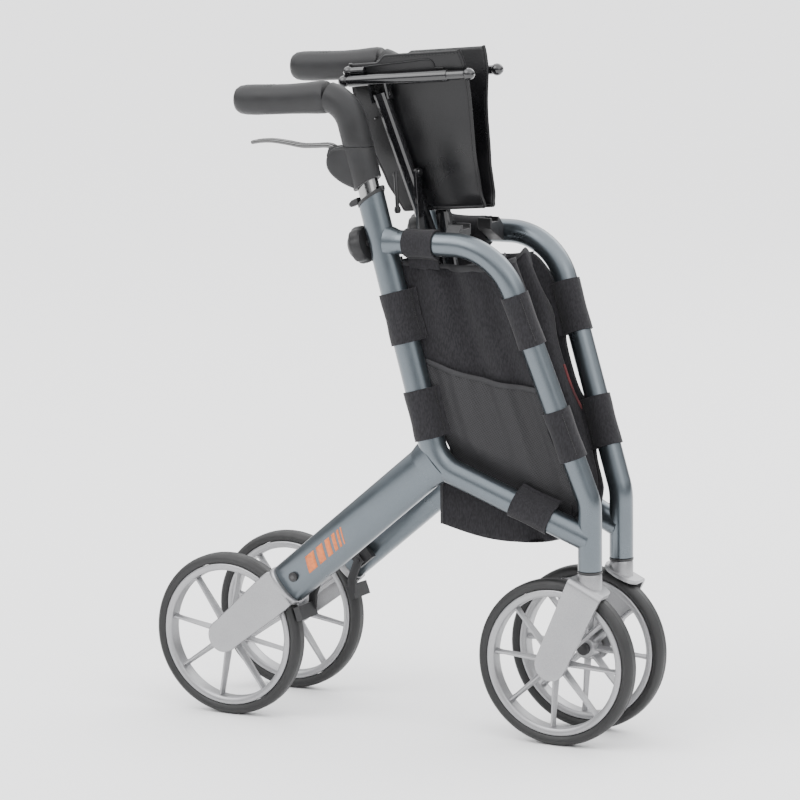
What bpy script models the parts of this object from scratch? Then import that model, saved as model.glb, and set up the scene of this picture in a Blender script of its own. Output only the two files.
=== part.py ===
"""Cross-folding shopping rollator, standing folded on its four wheels.

The two side frames stand upright and parallel. Each is drawn once, in its own
coordinates: x forward from under the rear axle, inboard from the frame's own
plane, z up, all in millimetres. The place function turns them into metres.
"""

import math

import bmesh
import bpy
from mathutils import Vector

MM = 0.001
RIGHT, LEFT = -1, 1
SIDES = (("right", RIGHT), ("left", LEFT))

# Stance
HALF_TRACK = 75.1
MID_X = 213.5
GAP = 0.35
LEFT_HANDLE_RAISED = 30.0

# Wheels
WHEEL_RADIUS = 100.0
TYRE_INNER = 88.0
WHEEL_FACETS = 32
REAR_AXLE = (0.0, 100.0)
FRONT_AXLE = (427.0, 100.0)
SPOKES = 8
AXLE_RADIUS = 5.0

# Upright and lower tube
LEAN = math.radians(15.1)
ALONG = Vector((-math.sin(LEAN), 0.0, math.cos(LEAN)))
ACROSS = Vector((math.cos(LEAN), 0.0, math.sin(LEAN)))
UPRIGHT_POINT = Vector((209.0, 0.0, 620.0))
UPRIGHT_RADIUS = 16.5
LOWER_RADIUS = 15.2
LOWER_CORNER = Vector((287.0, 0.0, 331.0))
COLLAR_CENTRE = Vector((202.3, 0.0, 644.8))
COLLAR_TILT = math.radians(36.7)

# Front tube and caster stem
FRONT_RADIUS = 14.2
STEM = (470.4, 31.5)
UPPER_TUBE_Z = 592.0
HEAD_BOTTOM = 213.8
STEM_PIN_RADIUS = 6.0

# Rear leg
LEG_ANGLE = math.radians(39.7)
LEG_ALONG = Vector((math.cos(LEG_ANGLE), 0.0, math.sin(LEG_ANGLE)))
LEG_UP = Vector((-math.sin(LEG_ANGLE), 0.0, math.cos(LEG_ANGLE)))
LEG_HALF_HEIGHT = 25.7
LEG_HALF_WIDTH = 15.0
LEG_START = 108.0
LEG_END = 374.0

# Handles
HANDLE_TUBE_RADIUS = 13.0
HANDLE_BORE = 13.5
HANDLE_INSERT = 170.0
HANDLE_CORNER = Vector((170.4, 0.0, 762.9))
HANDLE_BEND = 42.0
GRIP_END = Vector((22.0, 0.0, 752.5))
SEAM_Z = 703.0
SLEEVE_RADIUS = 18.0
LEVER_PIVOT = Vector((164.0, 0.0, 684.0))

# Folding cross. FOLDED_LEAN and OPEN_LEAN are the bars' angles to the uprights.
BRACE_INBOARD = 38.0
BRACE_FOOT = Vector((271.8, 0.0, 386.9))
BRACE_HEIGHT = 378.7
BRACE_SPREAD = 2 * (HALF_TRACK - BRACE_INBOARD)
BRACE_LENGTH = math.hypot(BRACE_HEIGHT, BRACE_SPREAD)
FOLDED_LEAN = math.atan2(BRACE_SPREAD, BRACE_HEIGHT)
OPEN_LEAN = math.radians(57.86)
REAR_BAR_OFFSET = 25.5
FRONT_BAR_OFFSET = 44.0
BAR_HALF = (9.0, 6.0)
BAR_GAP = 0.5
PIN_RADIUS = 2.8
PIN_BORE = 3.2
LINK_INBOARD = 18.0
LINK_ON_BAR = 286.0
LINK_HALF_THICK = 1.9

# Seat
RAIL_TILT = math.radians(4.6)
RAIL_ALONG = Vector((math.cos(RAIL_TILT), 0.0, math.sin(RAIL_TILT)))
RAIL_REAR = Vector((148.2, BRACE_INBOARD, 774.7))
RAIL_LENGTH = 165.6
RAIL_RADIUS = 7.0
SEAT_DROOP = math.radians(10.6)
SEAT_OFFSET = 10.0
SEAT_HALF_THICK = 2.0

# Bag
BAG_HALF_THICK = 1.5
BAG_SIDE_INBOARD = 8.0
CENTRE_GAP = 0.5

FINISHES = {
    "frame_paint": ((0.19, 0.235, 0.27), 0.38, 0.75),
    "cast_alloy": ((0.46, 0.47, 0.49), 0.36, 0.85),
    "polished": ((0.72, 0.73, 0.75), 0.12, 1.0),
    "tyre": ((0.045, 0.045, 0.05), 0.7, 0.0),
    "grip_rubber": ((0.08, 0.08, 0.085), 0.6, 0.0),
    "black_plastic": ((0.022, 0.022, 0.025), 0.45, 0.0),
    "gloss_black": ((0.012, 0.012, 0.014), 0.15, 0.2),
    "seat_vinyl": ((0.026, 0.025, 0.028), 0.42, 0.0),
    "bag_cloth": ((0.09, 0.085, 0.095), 0.9, 0.0),
    "steel": ((0.55, 0.55, 0.56), 0.25, 1.0),
}


# ---------------------------------------------------------------- building tools


def clear_scene():
    for old in list(bpy.data.objects):
        bpy.data.objects.remove(old, do_unlink=True)


def make_finishes():
    for name, (colour, roughness, metallic) in FINISHES.items():
        finish = bpy.data.materials.new(name)
        finish.use_nodes = True
        shader = finish.node_tree.nodes["Principled BSDF"]
        shader.inputs["Base Color"].default_value = (*colour, 1.0)
        shader.inputs["Roughness"].default_value = roughness
        shader.inputs["Metallic"].default_value = metallic


def place(side, point):
    """A side frame's own point, in metres in the part's frame."""
    return Vector((point[0] - MID_X, side * (HALF_TRACK - point[1]), point[2])) * MM


def skin(rings, closed=False):
    """A mesh through rings of equal count, with flat ends or joined round into a ring."""
    mesh = bmesh.new()
    grid = [[mesh.verts.new(point) for point in ring] for ring in rings]
    count = len(rings[0])
    pairs = list(zip(grid, grid[1:]))
    if closed:
        pairs.append((grid[-1], grid[0]))
    for first, second in pairs:
        for i in range(count):
            j = (i + 1) % count
            mesh.faces.new((first[i], first[j], second[j], second[i]))
    if not closed:
        mesh.faces.new(list(reversed(grid[0])))
        mesh.faces.new(grid[-1])
    return mesh


def oval(centre, across, up, half_across, half_up, sides, squareness=2.0):
    """One ring of points round a centre. A squareness over 2 fills its corners."""
    ring = []
    for i in range(sides):
        angle = 2 * math.pi * (i + 0.5) / sides
        c, s = math.cos(angle), math.sin(angle)
        a = math.copysign(abs(c) ** (2 / squareness), c) * half_across
        b = math.copysign(abs(s) ** (2 / squareness), s) * half_up
        ring.append(centre + across * a + up * b)
    return ring


def rounded_route(corners, radii, steps=6):
    """The corners joined by straight runs, each inner corner turned by an arc."""
    route = [corners[0].copy()]
    for before, corner, after, radius in zip(corners, corners[1:], corners[2:], radii):
        into = (corner - before).normalized()
        out = (after - corner).normalized()
        turn = into.angle(out)
        reach = radius * math.tan(turn / 2)
        start = corner - into * reach
        bend = (out - into * into.dot(out)).normalized()
        middle = start + bend * radius
        for i in range(steps + 1):
            swept = turn * i / steps
            route.append(middle - bend * radius * math.cos(swept) + into * radius * math.sin(swept))
    route.append(corners[-1].copy())
    return route


def tube_rings(route, half_sizes, sides, sideways=Vector((0.0, 1.0, 0.0)), squareness=2.0):
    """Rings square to a route. half_sizes is one (sideways, other) pair or one for each point."""
    if not isinstance(half_sizes, list):
        half_sizes = [half_sizes] * len(route)
    rings = []
    for i, (point, (half_side, half_up)) in enumerate(zip(route, half_sizes)):
        ahead = route[min(i + 1, len(route) - 1)] - route[max(i - 1, 0)]
        ahead.normalize()
        across = (sideways - ahead * ahead.dot(sideways)).normalized()
        up = ahead.cross(across)
        rings.append(oval(point, across, up, half_side, half_up, sides, squareness))
    return rings


def slide_to_plane(ring, direction, plane_point, plane_normal):
    """Each point of a ring slid along a direction on to a plane."""
    moved = []
    for point in ring:
        distance = (plane_point - point).dot(plane_normal) / direction.dot(plane_normal)
        moved.append(point + direction * distance)
    return moved


def turned_rings(origin, axis, profile, sides, start=0.5):
    """Rings of a turned shape, from (radius, distance along the axis) pairs."""
    axis = axis.normalized()
    helper = Vector((0.0, 1.0, 0.0)) if abs(axis.y) < 0.9 else Vector((0.0, 0.0, 1.0))
    first = helper.cross(axis).normalized()
    second = axis.cross(first)
    rings = []
    for radius, along in profile:
        centre = origin + axis * along
        ring = []
        for i in range(sides):
            angle = 2 * math.pi * (i + start) / sides
            ring.append(centre + (first * math.cos(angle) + second * math.sin(angle)) * radius)
        rings.append(ring)
    return rings


def slab(outline, thickness):
    """An outline of points pushed along a vector into a closed plate."""
    return skin([outline, [point + thickness for point in outline]])


def box(centre, axes, halves):
    """A block whose half sizes run along three directions."""
    a, b, c = (axis * half for axis, half in zip(axes, halves))
    outline = [centre - c - a - b, centre - c + a - b, centre - c + a + b, centre - c - a + b]
    return slab(outline, c * 2)


def cylinder(start, end, radius, sides=12):
    axis = end - start
    return skin(turned_rings(start, axis, [(radius, 0.0), (radius, axis.length)], sides))


def add(name, mesh, side, finish, pivot=None):
    """One named piece from a side frame's own coordinates, its origin on its joint."""
    origin = place(side, pivot) if pivot is not None else Vector((0.0, 0.0, 0.0))
    for vertex in mesh.verts:
        vertex.co = place(side, vertex.co) - origin
    bmesh.ops.recalc_face_normals(mesh, faces=mesh.faces)
    data = bpy.data.meshes.new(name)
    mesh.to_mesh(data)
    mesh.free()
    data.shade_smooth()
    data.set_sharp_from_angle(angle=math.radians(35))
    piece = bpy.data.objects.new(name, data)
    bpy.context.scene.collection.objects.link(piece)
    piece.location = origin
    data.materials.append(bpy.data.materials[finish])
    return piece


def combine(piece, operation, mesh, side, label):
    """A Boolean with a helper solid that never shows itself."""
    helper = add(f"{piece.name}_{label}", mesh, side, piece.data.materials[0].name)
    helper.hide_render = True
    helper.display_type = "WIRE"
    change = piece.modifiers.new(label, "BOOLEAN")
    change.operation = operation
    change.object = helper


def upright_at(z):
    """The upright's axis at a height."""
    return UPRIGHT_POINT + ALONG * ((z - UPRIGHT_POINT.z) / ALONG.z)


def brace_at(height, offset, inboard=BRACE_INBOARD):
    """A point of the folding cross: up its plane, forward of the upright, and inboard."""
    point = BRACE_FOOT + ALONG * height + ACROSS * offset
    return Vector((point.x, inboard, point.z))


# ---------------------------------------------------------------- side frame


def upright_rings(extra=0.0, top=None):
    """The upright, its lower bend and the lower tube that runs to the caster's head."""
    top = top or UPRIGHT_POINT + ALONG * 60.0
    end = Vector((STEM[0], STEM[1], 248.0))
    route = rounded_route([top, LOWER_CORNER, end], [50.0])
    last = len(route) - 1
    sizes = []
    for i in range(len(route)):
        share = min(1.0, max(0.0, (i - 1) / (last - 1)))
        radius = UPRIGHT_RADIUS + (LOWER_RADIUS - UPRIGHT_RADIUS) * share + extra
        sizes.append((radius, radius))
    return tube_rings(route, sizes, 16)


def front_rings(extra=0.0, bottom=HEAD_BOTTOM):
    """The upper tube, its large bend, the sloping front tube and the caster's head."""
    corners = [
        upright_at(UPPER_TUBE_Z),
        Vector((367.8, 0.0, UPPER_TUBE_Z)),
        Vector((STEM[0], STEM[1], 293.0)),
        Vector((STEM[0], STEM[1], bottom)),
    ]
    route = rounded_route(corners, [80.0, 60.0], 5)
    radius = FRONT_RADIUS + extra
    return tube_rings(route, (radius, radius), 14)


def collar_plane():
    slope = Vector((math.cos(COLLAR_TILT), 0.0, math.sin(COLLAR_TILT)))
    return slope.cross(Vector((0.0, 1.0, 0.0))).normalized()


def make_upright(name, side):
    normal = collar_plane()
    rings = upright_rings()
    rings[0] = slide_to_plane(rings[0], ALONG, COLLAR_CENTRE - ALONG * 4.0, normal)
    piece = add(f"{name}_upright", skin(rings), side, "frame_paint")
    bore_top = COLLAR_CENTRE + ALONG * 20.0
    bore = cylinder(bore_top, COLLAR_CENTRE - ALONG * (HANDLE_INSERT + 16.0), HANDLE_BORE, 16)
    combine(piece, "DIFFERENCE", bore, side, "bore")
    combine(piece, "DIFFERENCE", skin(front_rings(GAP, 200.0)), side, "head_notch")


def make_front_tube(name, side):
    piece = add(f"{name}_front_tube", skin(front_rings()), side, "frame_paint")
    combine(piece, "DIFFERENCE", skin(upright_rings(GAP)), side, "upright_notch")
    foot = Vector((STEM[0], STEM[1], 190.0))
    bore = cylinder(foot, foot + Vector((0.0, 0.0, 62.0)), STEM_PIN_RADIUS + 0.4)
    combine(piece, "DIFFERENCE", bore, side, "stem_bore")


def make_rear_leg(name, side):
    axle = Vector((REAR_AXLE[0], 0.0, REAR_AXLE[1]))
    ends = [axle + LEG_ALONG * LEG_START, axle + LEG_ALONG * LEG_END]
    rings = tube_rings(ends, (LEG_HALF_WIDTH, LEG_HALF_HEIGHT), 18, squareness=2.3)
    piece = add(f"{name}_rear_leg", skin(rings), side, "frame_paint")
    combine(piece, "DIFFERENCE", skin(upright_rings(GAP)), side, "upright_notch")
    combine(piece, "DIFFERENCE", skin(front_rings(GAP)), side, "head_notch")
    screw = axle + LEG_ALONG * 127.0
    hole = cylinder(screw + Vector((0, -20.0, 0)), screw + Vector((0, -6.0, 0)), 3.2)
    combine(piece, "DIFFERENCE", hole, side, "screw_hole")


def make_leg_screw(name, side):
    centre = Vector((REAR_AXLE[0], 0.0, REAR_AXLE[1])) + LEG_ALONG * 127.0
    profile = [(4.6, -17.6), (6.0, -16.9), (6.0, -15.4), (2.8, -15.4), (2.8, -7.0)]
    rings = turned_rings(centre, Vector((0.0, 1.0, 0.0)), profile, 12)
    add(f"{name}_leg_screw", skin(rings), side, "black_plastic")


def make_rear_fork(name, side):
    """The casting below the leg: an oval cap and a plate down the wheel's outer side."""
    axle = Vector((REAR_AXLE[0], 0.0, REAR_AXLE[1]))
    outer, inner = -20.5, -14.5
    ends = [axle + LEG_ALONG * s + Vector((0.0, -2.75, 0.0)) for s in (103.0, LEG_START - GAP)]
    sizes = (LEG_HALF_WIDTH + 2.75, LEG_HALF_HEIGHT)
    piece = add(f"{name}_rear_fork", skin(tube_rings(ends, sizes, 18, squareness=2.3)), side, "cast_alloy")
    outline = [(LEG_START - 1.0, 22.0), (98.0, 25.2), (60.0, 24.0)]
    turns = 7
    for i in range(turns + 1):
        angle = math.radians(84) + math.radians(192) * i / turns
        outline.append((20.5 * math.cos(angle), 20.5 * math.sin(angle)))
    outline += [(60.0, -24.0), (98.0, -25.2), (LEG_START - 1.0, -22.0)]
    points = [axle + LEG_ALONG * s + LEG_UP * n + Vector((0.0, outer, 0.0)) for s, n in outline]
    combine(piece, "UNION", slab(points, Vector((0.0, inner - outer, 0.0))), side, "plate")
    bore = cylinder(axle + Vector((0, -30.0, 0)), axle + Vector((0, -5.0, 0)), AXLE_RADIUS + 0.4)
    combine(piece, "DIFFERENCE", bore, side, "axle_bore")


def make_collar(name, side):
    """The slanted plastic ring that closes the upright, with its catch behind."""
    normal = collar_plane()
    centre = COLLAR_CENTRE
    flat = [centre - ALONG, centre + ALONG]
    rings = []
    levels = ((17.2, -3.7), (17.2, 0.0), (13.55, 0.0), (13.55, -3.7))
    for radius, height in levels:
        ring = tube_rings(flat, (radius, radius), 16)[0]
        rings.append(slide_to_plane(ring, ALONG, centre + ALONG * height, normal))
    piece = add(f"{name}_collar", skin(rings, closed=True), side, "black_plastic")
    axes = (ACROSS, Vector((0.0, 1.0, 0.0)), ALONG)
    rear = upright_at(642.0) - ACROSS * 21.0
    combine(piece, "UNION", box(rear, axes, (7.0, 4.0, 3.6)), side, "rear_catch")
    front = upright_at(650.2) + ACROSS * 17.8
    combine(piece, "UNION", box(front, axes, (2.0, 3.0, 3.0)), side, "front_ear")


def make_head_ring(name, side):
    foot = Vector((STEM[0], STEM[1], 209.8))
    profile = [(14.7, 0.0), (14.7, 3.6), (6.5, 3.6), (6.5, 0.0)]
    rings = turned_rings(foot, Vector((0.0, 0.0, 1.0)), profile, 20)
    add(f"{name}_head_ring", skin(rings, closed=True), side, "black_plastic")


def make_height_knob(name, side):
    centre = upright_at(593.6)
    profile = [(4.5, 16.9), (4.5, 18.6), (19.0, 19.0), (22.7, 22.0), (22.7, 33.0), (14.0, 41.0)]
    rings = turned_rings(centre, -ACROSS, profile, 12)
    add(f"{name}_height_knob", skin(rings), side, "grip_rubber", centre - ACROSS * 17.0)


# ---------------------------------------------------------------- wheels


def circumscribed(radius):
    """The corner radius of a wheel polygon whose flats lie at this radius."""
    return radius / math.cos(math.pi / WHEEL_FACETS)


def wheel_rings(centre, profile):
    """Turned about the axle, with a flat facet exactly at the bottom."""
    exact = [(circumscribed(radius), along) for radius, along in profile]
    return turned_rings(centre, Vector((0.0, 1.0, 0.0)), exact, WHEEL_FACETS)


def make_wheel(name, side, axle, inboard):
    centre = Vector((axle[0], inboard, axle[1]))
    rim = [(77.5, -6.5), (81.0, -10.0), (TYRE_INNER - GAP, -10.0)]
    rim += [(radius, -along) for radius, along in reversed(rim)]
    piece = add(f"{name}_rim", skin(wheel_rings(centre, rim), closed=True), side, "cast_alloy", centre)
    half_deep, half_wide, hub = 6.0, 4.0, 14.0
    outline = []
    for i in range(SPOKES):
        angle = 2 * math.pi * (i + 0.35) / SPOKES
        out = Vector((math.cos(angle), 0.0, math.sin(angle)))
        beside = Vector((-math.sin(angle), 0.0, math.cos(angle)))
        for reach, offset in ((hub, -1), (79.5, -1), (79.5, 1), (hub, 1)):
            outline.append(centre + out * reach + beside * offset * half_wide)
    shift = Vector((0.0, half_deep, 0.0))
    combine(piece, "UNION", slab([p - shift for p in outline], shift * 2), side, "spokes")
    hub_ends = (centre + Vector((0, -13.5, 0)), centre + Vector((0, 12.0, 0)))
    combine(piece, "UNION", cylinder(*hub_ends, 13.0, 16), side, "hub")
    bore_ends = (centre + Vector((0, -20.0, 0)), centre + Vector((0, 20.0, 0)))
    combine(piece, "DIFFERENCE", cylinder(*bore_ends, AXLE_RADIUS + 0.4), side, "bore")
    half = [(TYRE_INNER, -9.5), (94.0, -11.5), (98.6, -9.2), (WHEEL_RADIUS, -5.0)]
    tyre = half + [(radius, -along) for radius, along in reversed(half)]
    add(f"{name}_tyre", skin(wheel_rings(centre, tyre), closed=True), side, "tyre", centre)


def make_axle(name, side, axle, inboard):
    centre = Vector((axle[0], inboard, axle[1]))
    profile = [(6.5, -23.2), (9.0, -22.4), (9.0, -20.9), (AXLE_RADIUS, -20.9)]
    profile += [(AXLE_RADIUS, 12.4), (7.7, 12.4), (7.7, 17.0), (6.0, 18.3)]
    rings = turned_rings(centre, Vector((0.0, 1.0, 0.0)), profile, 12)
    add(name, skin(rings), side, "black_plastic")


def make_front_fork(name, side):
    """A single-sided caster fork: crown plate, outer leg, stem and its pin."""
    tilt = math.radians(25.5)
    up = Vector((math.sin(tilt), 0.0, math.cos(tilt)))
    fore = Vector((math.cos(tilt), 0.0, -math.sin(tilt)))
    sideways = Vector((0.0, 1.0, 0.0))
    axle = Vector((FRONT_AXLE[0], STEM[1], FRONT_AXLE[1]))
    stem_foot = Vector((STEM[0], STEM[1], 0.0))
    crown_low, crown_thick = 101.9, 4.6
    crown = [(-23.0, -20.5), (21.0, -20.5)]
    turns = 8
    for i in range(turns + 1):
        angle = math.pi * i / turns
        crown.append((-1.0 + 22.0 * math.cos(angle), 1.0 + 17.0 * math.sin(angle)))
    crown_points = [axle + up * crown_low + fore * k + sideways * v for k, v in crown]
    piece = add(
        f"{name}_front_fork",
        slab(crown_points, up * crown_thick),
        side,
        "cast_alloy",
        Vector((STEM[0], STEM[1], 205.0)),
    )
    leg = [(-23.0, crown_low + 3.0), (-20.5, 60.0)]
    for i in range(turns + 1):
        angle = math.radians(186) + math.radians(168) * i / turns
        leg.append((19.5 * math.cos(angle), 19.5 * math.sin(angle)))
    leg += [(20.5, 60.0), (21.0, crown_low + 3.0)]
    leg_points = [axle + fore * k + up * s + sideways * -20.5 for k, s in leg]
    combine(piece, "UNION", slab(leg_points, sideways * 5.0), side, "leg")
    profile = [(14.0, 205.0), (14.0, 209.4), (STEM_PIN_RADIUS, 209.4), (STEM_PIN_RADIUS, 246.0)]
    rings = turned_rings(stem_foot, Vector((0.0, 0.0, 1.0)), profile, 20)
    middle = axle + up * (crown_low + 2.3)
    rings[0] = slide_to_plane(rings[0], Vector((0.0, 0.0, 1.0)), middle, up)
    combine(piece, "UNION", skin(rings), side, "stem")
    bore = cylinder(axle + sideways * -30.0, axle + sideways * -5.0, AXLE_RADIUS + 0.4)
    combine(piece, "DIFFERENCE", bore, side, "axle_bore")


# ---------------------------------------------------------------- handle and brake


def handle_route(steps=7):
    insert = COLLAR_CENTRE - ALONG * HANDLE_INSERT
    inside = GRIP_END + Vector((14.0, 0.0, 1.0))
    return rounded_route([insert, HANDLE_CORNER, inside], [HANDLE_BEND], steps)


def raised(point, side):
    """The left handle is set higher on its upright than the right one."""
    return point + ALONG * (LEFT_HANDLE_RAISED if side == LEFT else 0.0)


def raise_rings(rings, side):
    return [[raised(point, side) for point in ring] for ring in rings]


def handle_core(side, extra):
    """The bent tube's own shape, a little larger, to hollow out what covers it."""
    radius = HANDLE_TUBE_RADIUS + extra
    return skin(raise_rings(tube_rings(handle_route(), (radius, radius), 16), side))


def make_handle_tube(name, side):
    mesh = handle_core(side, 0.0)
    add(f"{name}_handle_tube", mesh, side, "polished", raised(COLLAR_CENTRE, side))


def make_handle_elbow(name, side):
    """The moulded elbow from the brake housing up to the grip."""
    route = handle_route()
    low = upright_at(SEAM_Z + 8.0)
    covered = [low] + route[1:7]
    sizes = [(SLEEVE_RADIUS, SLEEVE_RADIUS)] * len(covered)
    rings = tube_rings(covered, sizes, 16)
    seam = Vector((0.0, 0.0, SEAM_Z + GAP))
    rings.insert(0, slide_to_plane(rings[0], ALONG, seam, Vector((0.0, 0.0, 1.0))))
    mesh = skin(raise_rings(rings, side))
    piece = add(f"{name}_handle_elbow", mesh, side, "grip_rubber", raised(COLLAR_CENTRE, side))
    combine(piece, "DIFFERENCE", handle_core(side, GAP), side, "hollow")


def make_grip(name, side):
    """The long grip, fuller at its front and rounded at its end."""
    route = handle_route()
    start = route[6]
    ahead = (route[6] - route[5]).normalized()
    tail = route[8] - GRIP_END
    points = [start + ahead * 1.2, start + ahead * 9.0]
    sizes = [17.8, 19.0]
    for share, radius in ((0.97, 19.4), (0.8, 18.4), (0.55, 17.8), (0.25, 18.2), (0.08, 17.4), (0.02, 13.5)):
        points.append(GRIP_END + tail * share)
        sizes.append(radius)
    points.append(GRIP_END)
    sizes.append(8.0)
    rings = tube_rings(points, [(size * 0.93, size) for size in sizes], 16)
    mesh = skin(raise_rings(rings, side))
    piece = add(f"{name}_grip", mesh, side, "grip_rubber", raised(COLLAR_CENTRE, side))
    combine(piece, "DIFFERENCE", handle_core(side, GAP), side, "hollow")


def make_brake_housing(name, side):
    """A sleeve round the handle tube with the lever's pod behind it."""
    slope = Vector((math.cos(math.radians(32.6)), 0.0, math.sin(math.radians(32.6))))
    normal = slope.cross(Vector((0.0, 1.0, 0.0))).normalized()
    line = [upright_at(660.0), upright_at(SEAM_Z)]
    rings = tube_rings(line, (SLEEVE_RADIUS, SLEEVE_RADIUS), 16)
    rings[0] = slide_to_plane(rings[0], ALONG, Vector((200.0, 0.0, 660.3)), normal)
    seam = Vector((0.0, 0.0, SEAM_Z - GAP))
    rings[1] = slide_to_plane(rings[1], ALONG, seam, Vector((0.0, 0.0, 1.0)))
    mesh = skin(raise_rings(rings, side))
    piece = add(f"{name}_brake_housing", mesh, side, "grip_rubber", raised(COLLAR_CENTRE, side))
    pod = [(186.0, 653.5), (170.0, 658.5), (156.0, 667.5), (149.0, 678.0), (149.0, 689.0)]
    pod += [(155.0, 698.0), (166.0, SEAM_Z - 0.6), (192.0, SEAM_Z - 0.6)]
    outline = [raised(Vector((x, -14.0, z)), side) for x, z in pod]
    combine(piece, "UNION", slab(outline, Vector((0.0, 28.0, 0.0))), side, "pod")
    low, high = raised(upright_at(630.0), side), raised(upright_at(720.0), side)
    core = cylinder(low, high, HANDLE_TUBE_RADIUS + GAP, 16)
    combine(piece, "DIFFERENCE", core, side, "tube_bore")
    slot = [(140.0, 668.0), (171.0, 668.0), (171.0, 692.0), (163.0, 720.0), (140.0, 720.0)]
    outline = [raised(Vector((x, -7.5, z)), side) for x, z in slot]
    combine(piece, "DIFFERENCE", slab(outline, Vector((0.0, 15.0, 0.0))), side, "lever_slot")


def make_brake_lever(name, side):
    """A slim lever: a round root in the pod and a long blade below the grip."""
    corners = [
        LEVER_PIVOT,
        Vector((158.5, 0.0, 702.0)),
        Vector((120.0, 0.0, 701.0)),
        Vector((80.0, 0.0, 705.5)),
        Vector((43.5, 0.0, 702.5)),
    ]
    route = rounded_route(corners, [10.0, 60.0, 60.0], 4)
    sizes = []
    for i in range(len(route)):
        half_side = 4.6 if i < 4 else 6.2
        sizes.append((half_side, 2.6))
    sizes[-1] = (4.0, 2.0)
    pivot = raised(LEVER_PIVOT, side)
    mesh = skin(raise_rings(tube_rings(route, sizes, 10, squareness=3.0), side))
    piece = add(f"{name}_brake_lever", mesh, side, "polished", pivot)
    sideways = Vector((0.0, 6.0, 0.0))
    combine(piece, "UNION", cylinder(pivot - sideways, pivot + sideways, 6.5), side, "root")


def leg_point(along, up, inboard):
    axle = Vector((REAR_AXLE[0], 0.0, REAR_AXLE[1]))
    return axle + LEG_ALONG * along + LEG_UP * up + Vector((0.0, inboard, 0.0))


def make_brake_block(name, side):
    """The brake's fixed block on the inner face of the leg, with the pivot's pin."""
    axes = (LEG_ALONG, LEG_UP, Vector((0.0, 1.0, 0.0)))
    centre = leg_point(139.0, -11.0, LEG_HALF_WIDTH + 4.7)
    piece = add(f"{name}_brake_block", box(centre, axes, (13.0, 9.0, 4.4)), side, "black_plastic")
    pivot = leg_point(134.0, -12.0, 0.0)
    ends = (pivot + Vector((0, 20.0, 0)), pivot + Vector((0, 29.0, 0)))
    combine(piece, "UNION", cylinder(*ends, 2.5), side, "pin")


def make_brake_shoe(name, side):
    """The brake's arm, pivoted on the block, with its pad over the tread."""
    pivot = leg_point(134.0, -12.0, 0.0)
    middle = leg_point(112.0, -24.0, 0.0)
    angle = math.radians(19.0)
    out = Vector((math.cos(angle), 0.0, math.sin(angle)))
    round_ = Vector((-math.sin(angle), 0.0, math.cos(angle)))
    axle = Vector((REAR_AXLE[0], 0.0, REAR_AXLE[1]))
    pad = axle + out * 106.3
    route = [pivot + LEG_ALONG * 6.0, pivot, middle, pad]
    inner = Vector((0.0, 26.3, 0.0))
    rings = tube_rings([point + inner for point in route], (1.8, 6.0), 10, squareness=3.5)
    piece = add(f"{name}_brake_shoe", skin(rings), side, "black_plastic", pivot + inner)
    axes = (out, round_, Vector((0.0, 1.0, 0.0)))
    pad_box = box(pad + Vector((0.0, 9.0, 0.0)), axes, (4.2, 8.5, 19.0))
    combine(piece, "UNION", pad_box, side, "pad")
    ends = (pivot + Vector((0, 22.0, 0)), pivot + Vector((0, 32.0, 0)))
    combine(piece, "DIFFERENCE", cylinder(*ends, 2.9), side, "pivot_bore")


# ---------------------------------------------------------------- folding cross


def bar_with_head_on(side):
    """The offset of the bar whose top carries this side's seat rail."""
    return REAR_BAR_OFFSET if side == RIGHT else FRONT_BAR_OFFSET


def bar_with_foot_on(side):
    """The offset of the bar whose foot is pivoted on this side's frame."""
    return FRONT_BAR_OFFSET if side == RIGHT else REAR_BAR_OFFSET


def make_cross_bar(name, foot_side):
    """A bar from its foot on one frame up to the other side's seat rail."""
    offset = bar_with_foot_on(foot_side)
    foot = brace_at(0.0, offset)
    head = brace_at(BRACE_HEIGHT, offset, BRACE_INBOARD + BRACE_SPREAD)
    run = (head - foot).normalized()
    ends = [foot - run * 9.0, head + run * 4.0]
    rings = tube_rings(ends, BAR_HALF, 12, sideways=ACROSS, squareness=3.4)
    centre = (foot + head) / 2
    piece = add(name, skin(rings), foot_side, "gloss_black", foot)
    bores = [("foot_bore", foot), ("head_bore", head)]
    if foot_side == LEFT:
        bores.append(("centre_bore", centre))
    for label, point in bores:
        bore = cylinder(point - ACROSS * 14.0, point + ACROSS * 14.0, PIN_BORE)
        combine(piece, "DIFFERENCE", bore, foot_side, label)
    return piece


def add_centre_bolt(bar):
    """The bolt fixed in the front bar, which the rear bar turns on."""
    centre = brace_at(BRACE_HEIGHT / 2, 0.0, HALF_TRACK)
    low = REAR_BAR_OFFSET - BAR_HALF[0] - BAR_GAP
    high = FRONT_BAR_OFFSET + BAR_HALF[0] - 1.0
    profile = [(5.0, low - 2.6), (6.4, low - 2.0), (6.4, low), (PIN_RADIUS, low)]
    profile += [(PIN_RADIUS, high), (6.4, high), (6.4, high + 3.0), (5.0, high + 3.6)]
    combine(bar, "UNION", skin(turned_rings(centre, ACROSS, profile, 12)), RIGHT, "centre_bolt")


def link_offset(side):
    """The right link lies in front of its bar, the left one behind."""
    step = BAR_HALF[0] + BAR_GAP + LINK_HALF_THICK
    return bar_with_head_on(side) + (step if side == RIGHT else -step)


def link_foot_height():
    """Where the link's foot sits, so that the link is as long unfolded as folded."""
    above = BRACE_LENGTH - LINK_ON_BAR
    reach = BRACE_INBOARD - LINK_INBOARD
    folded = reach + above * math.sin(FOLDED_LEAN)
    opened = reach + above * math.sin(OPEN_LEAN)
    c_folded, c_opened = math.cos(FOLDED_LEAN), math.cos(OPEN_LEAN)
    squares = LINK_ON_BAR**2 * (c_folded**2 - c_opened**2) + folded**2 - opened**2
    return squares / (2 * LINK_ON_BAR * (c_folded - c_opened))


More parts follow.
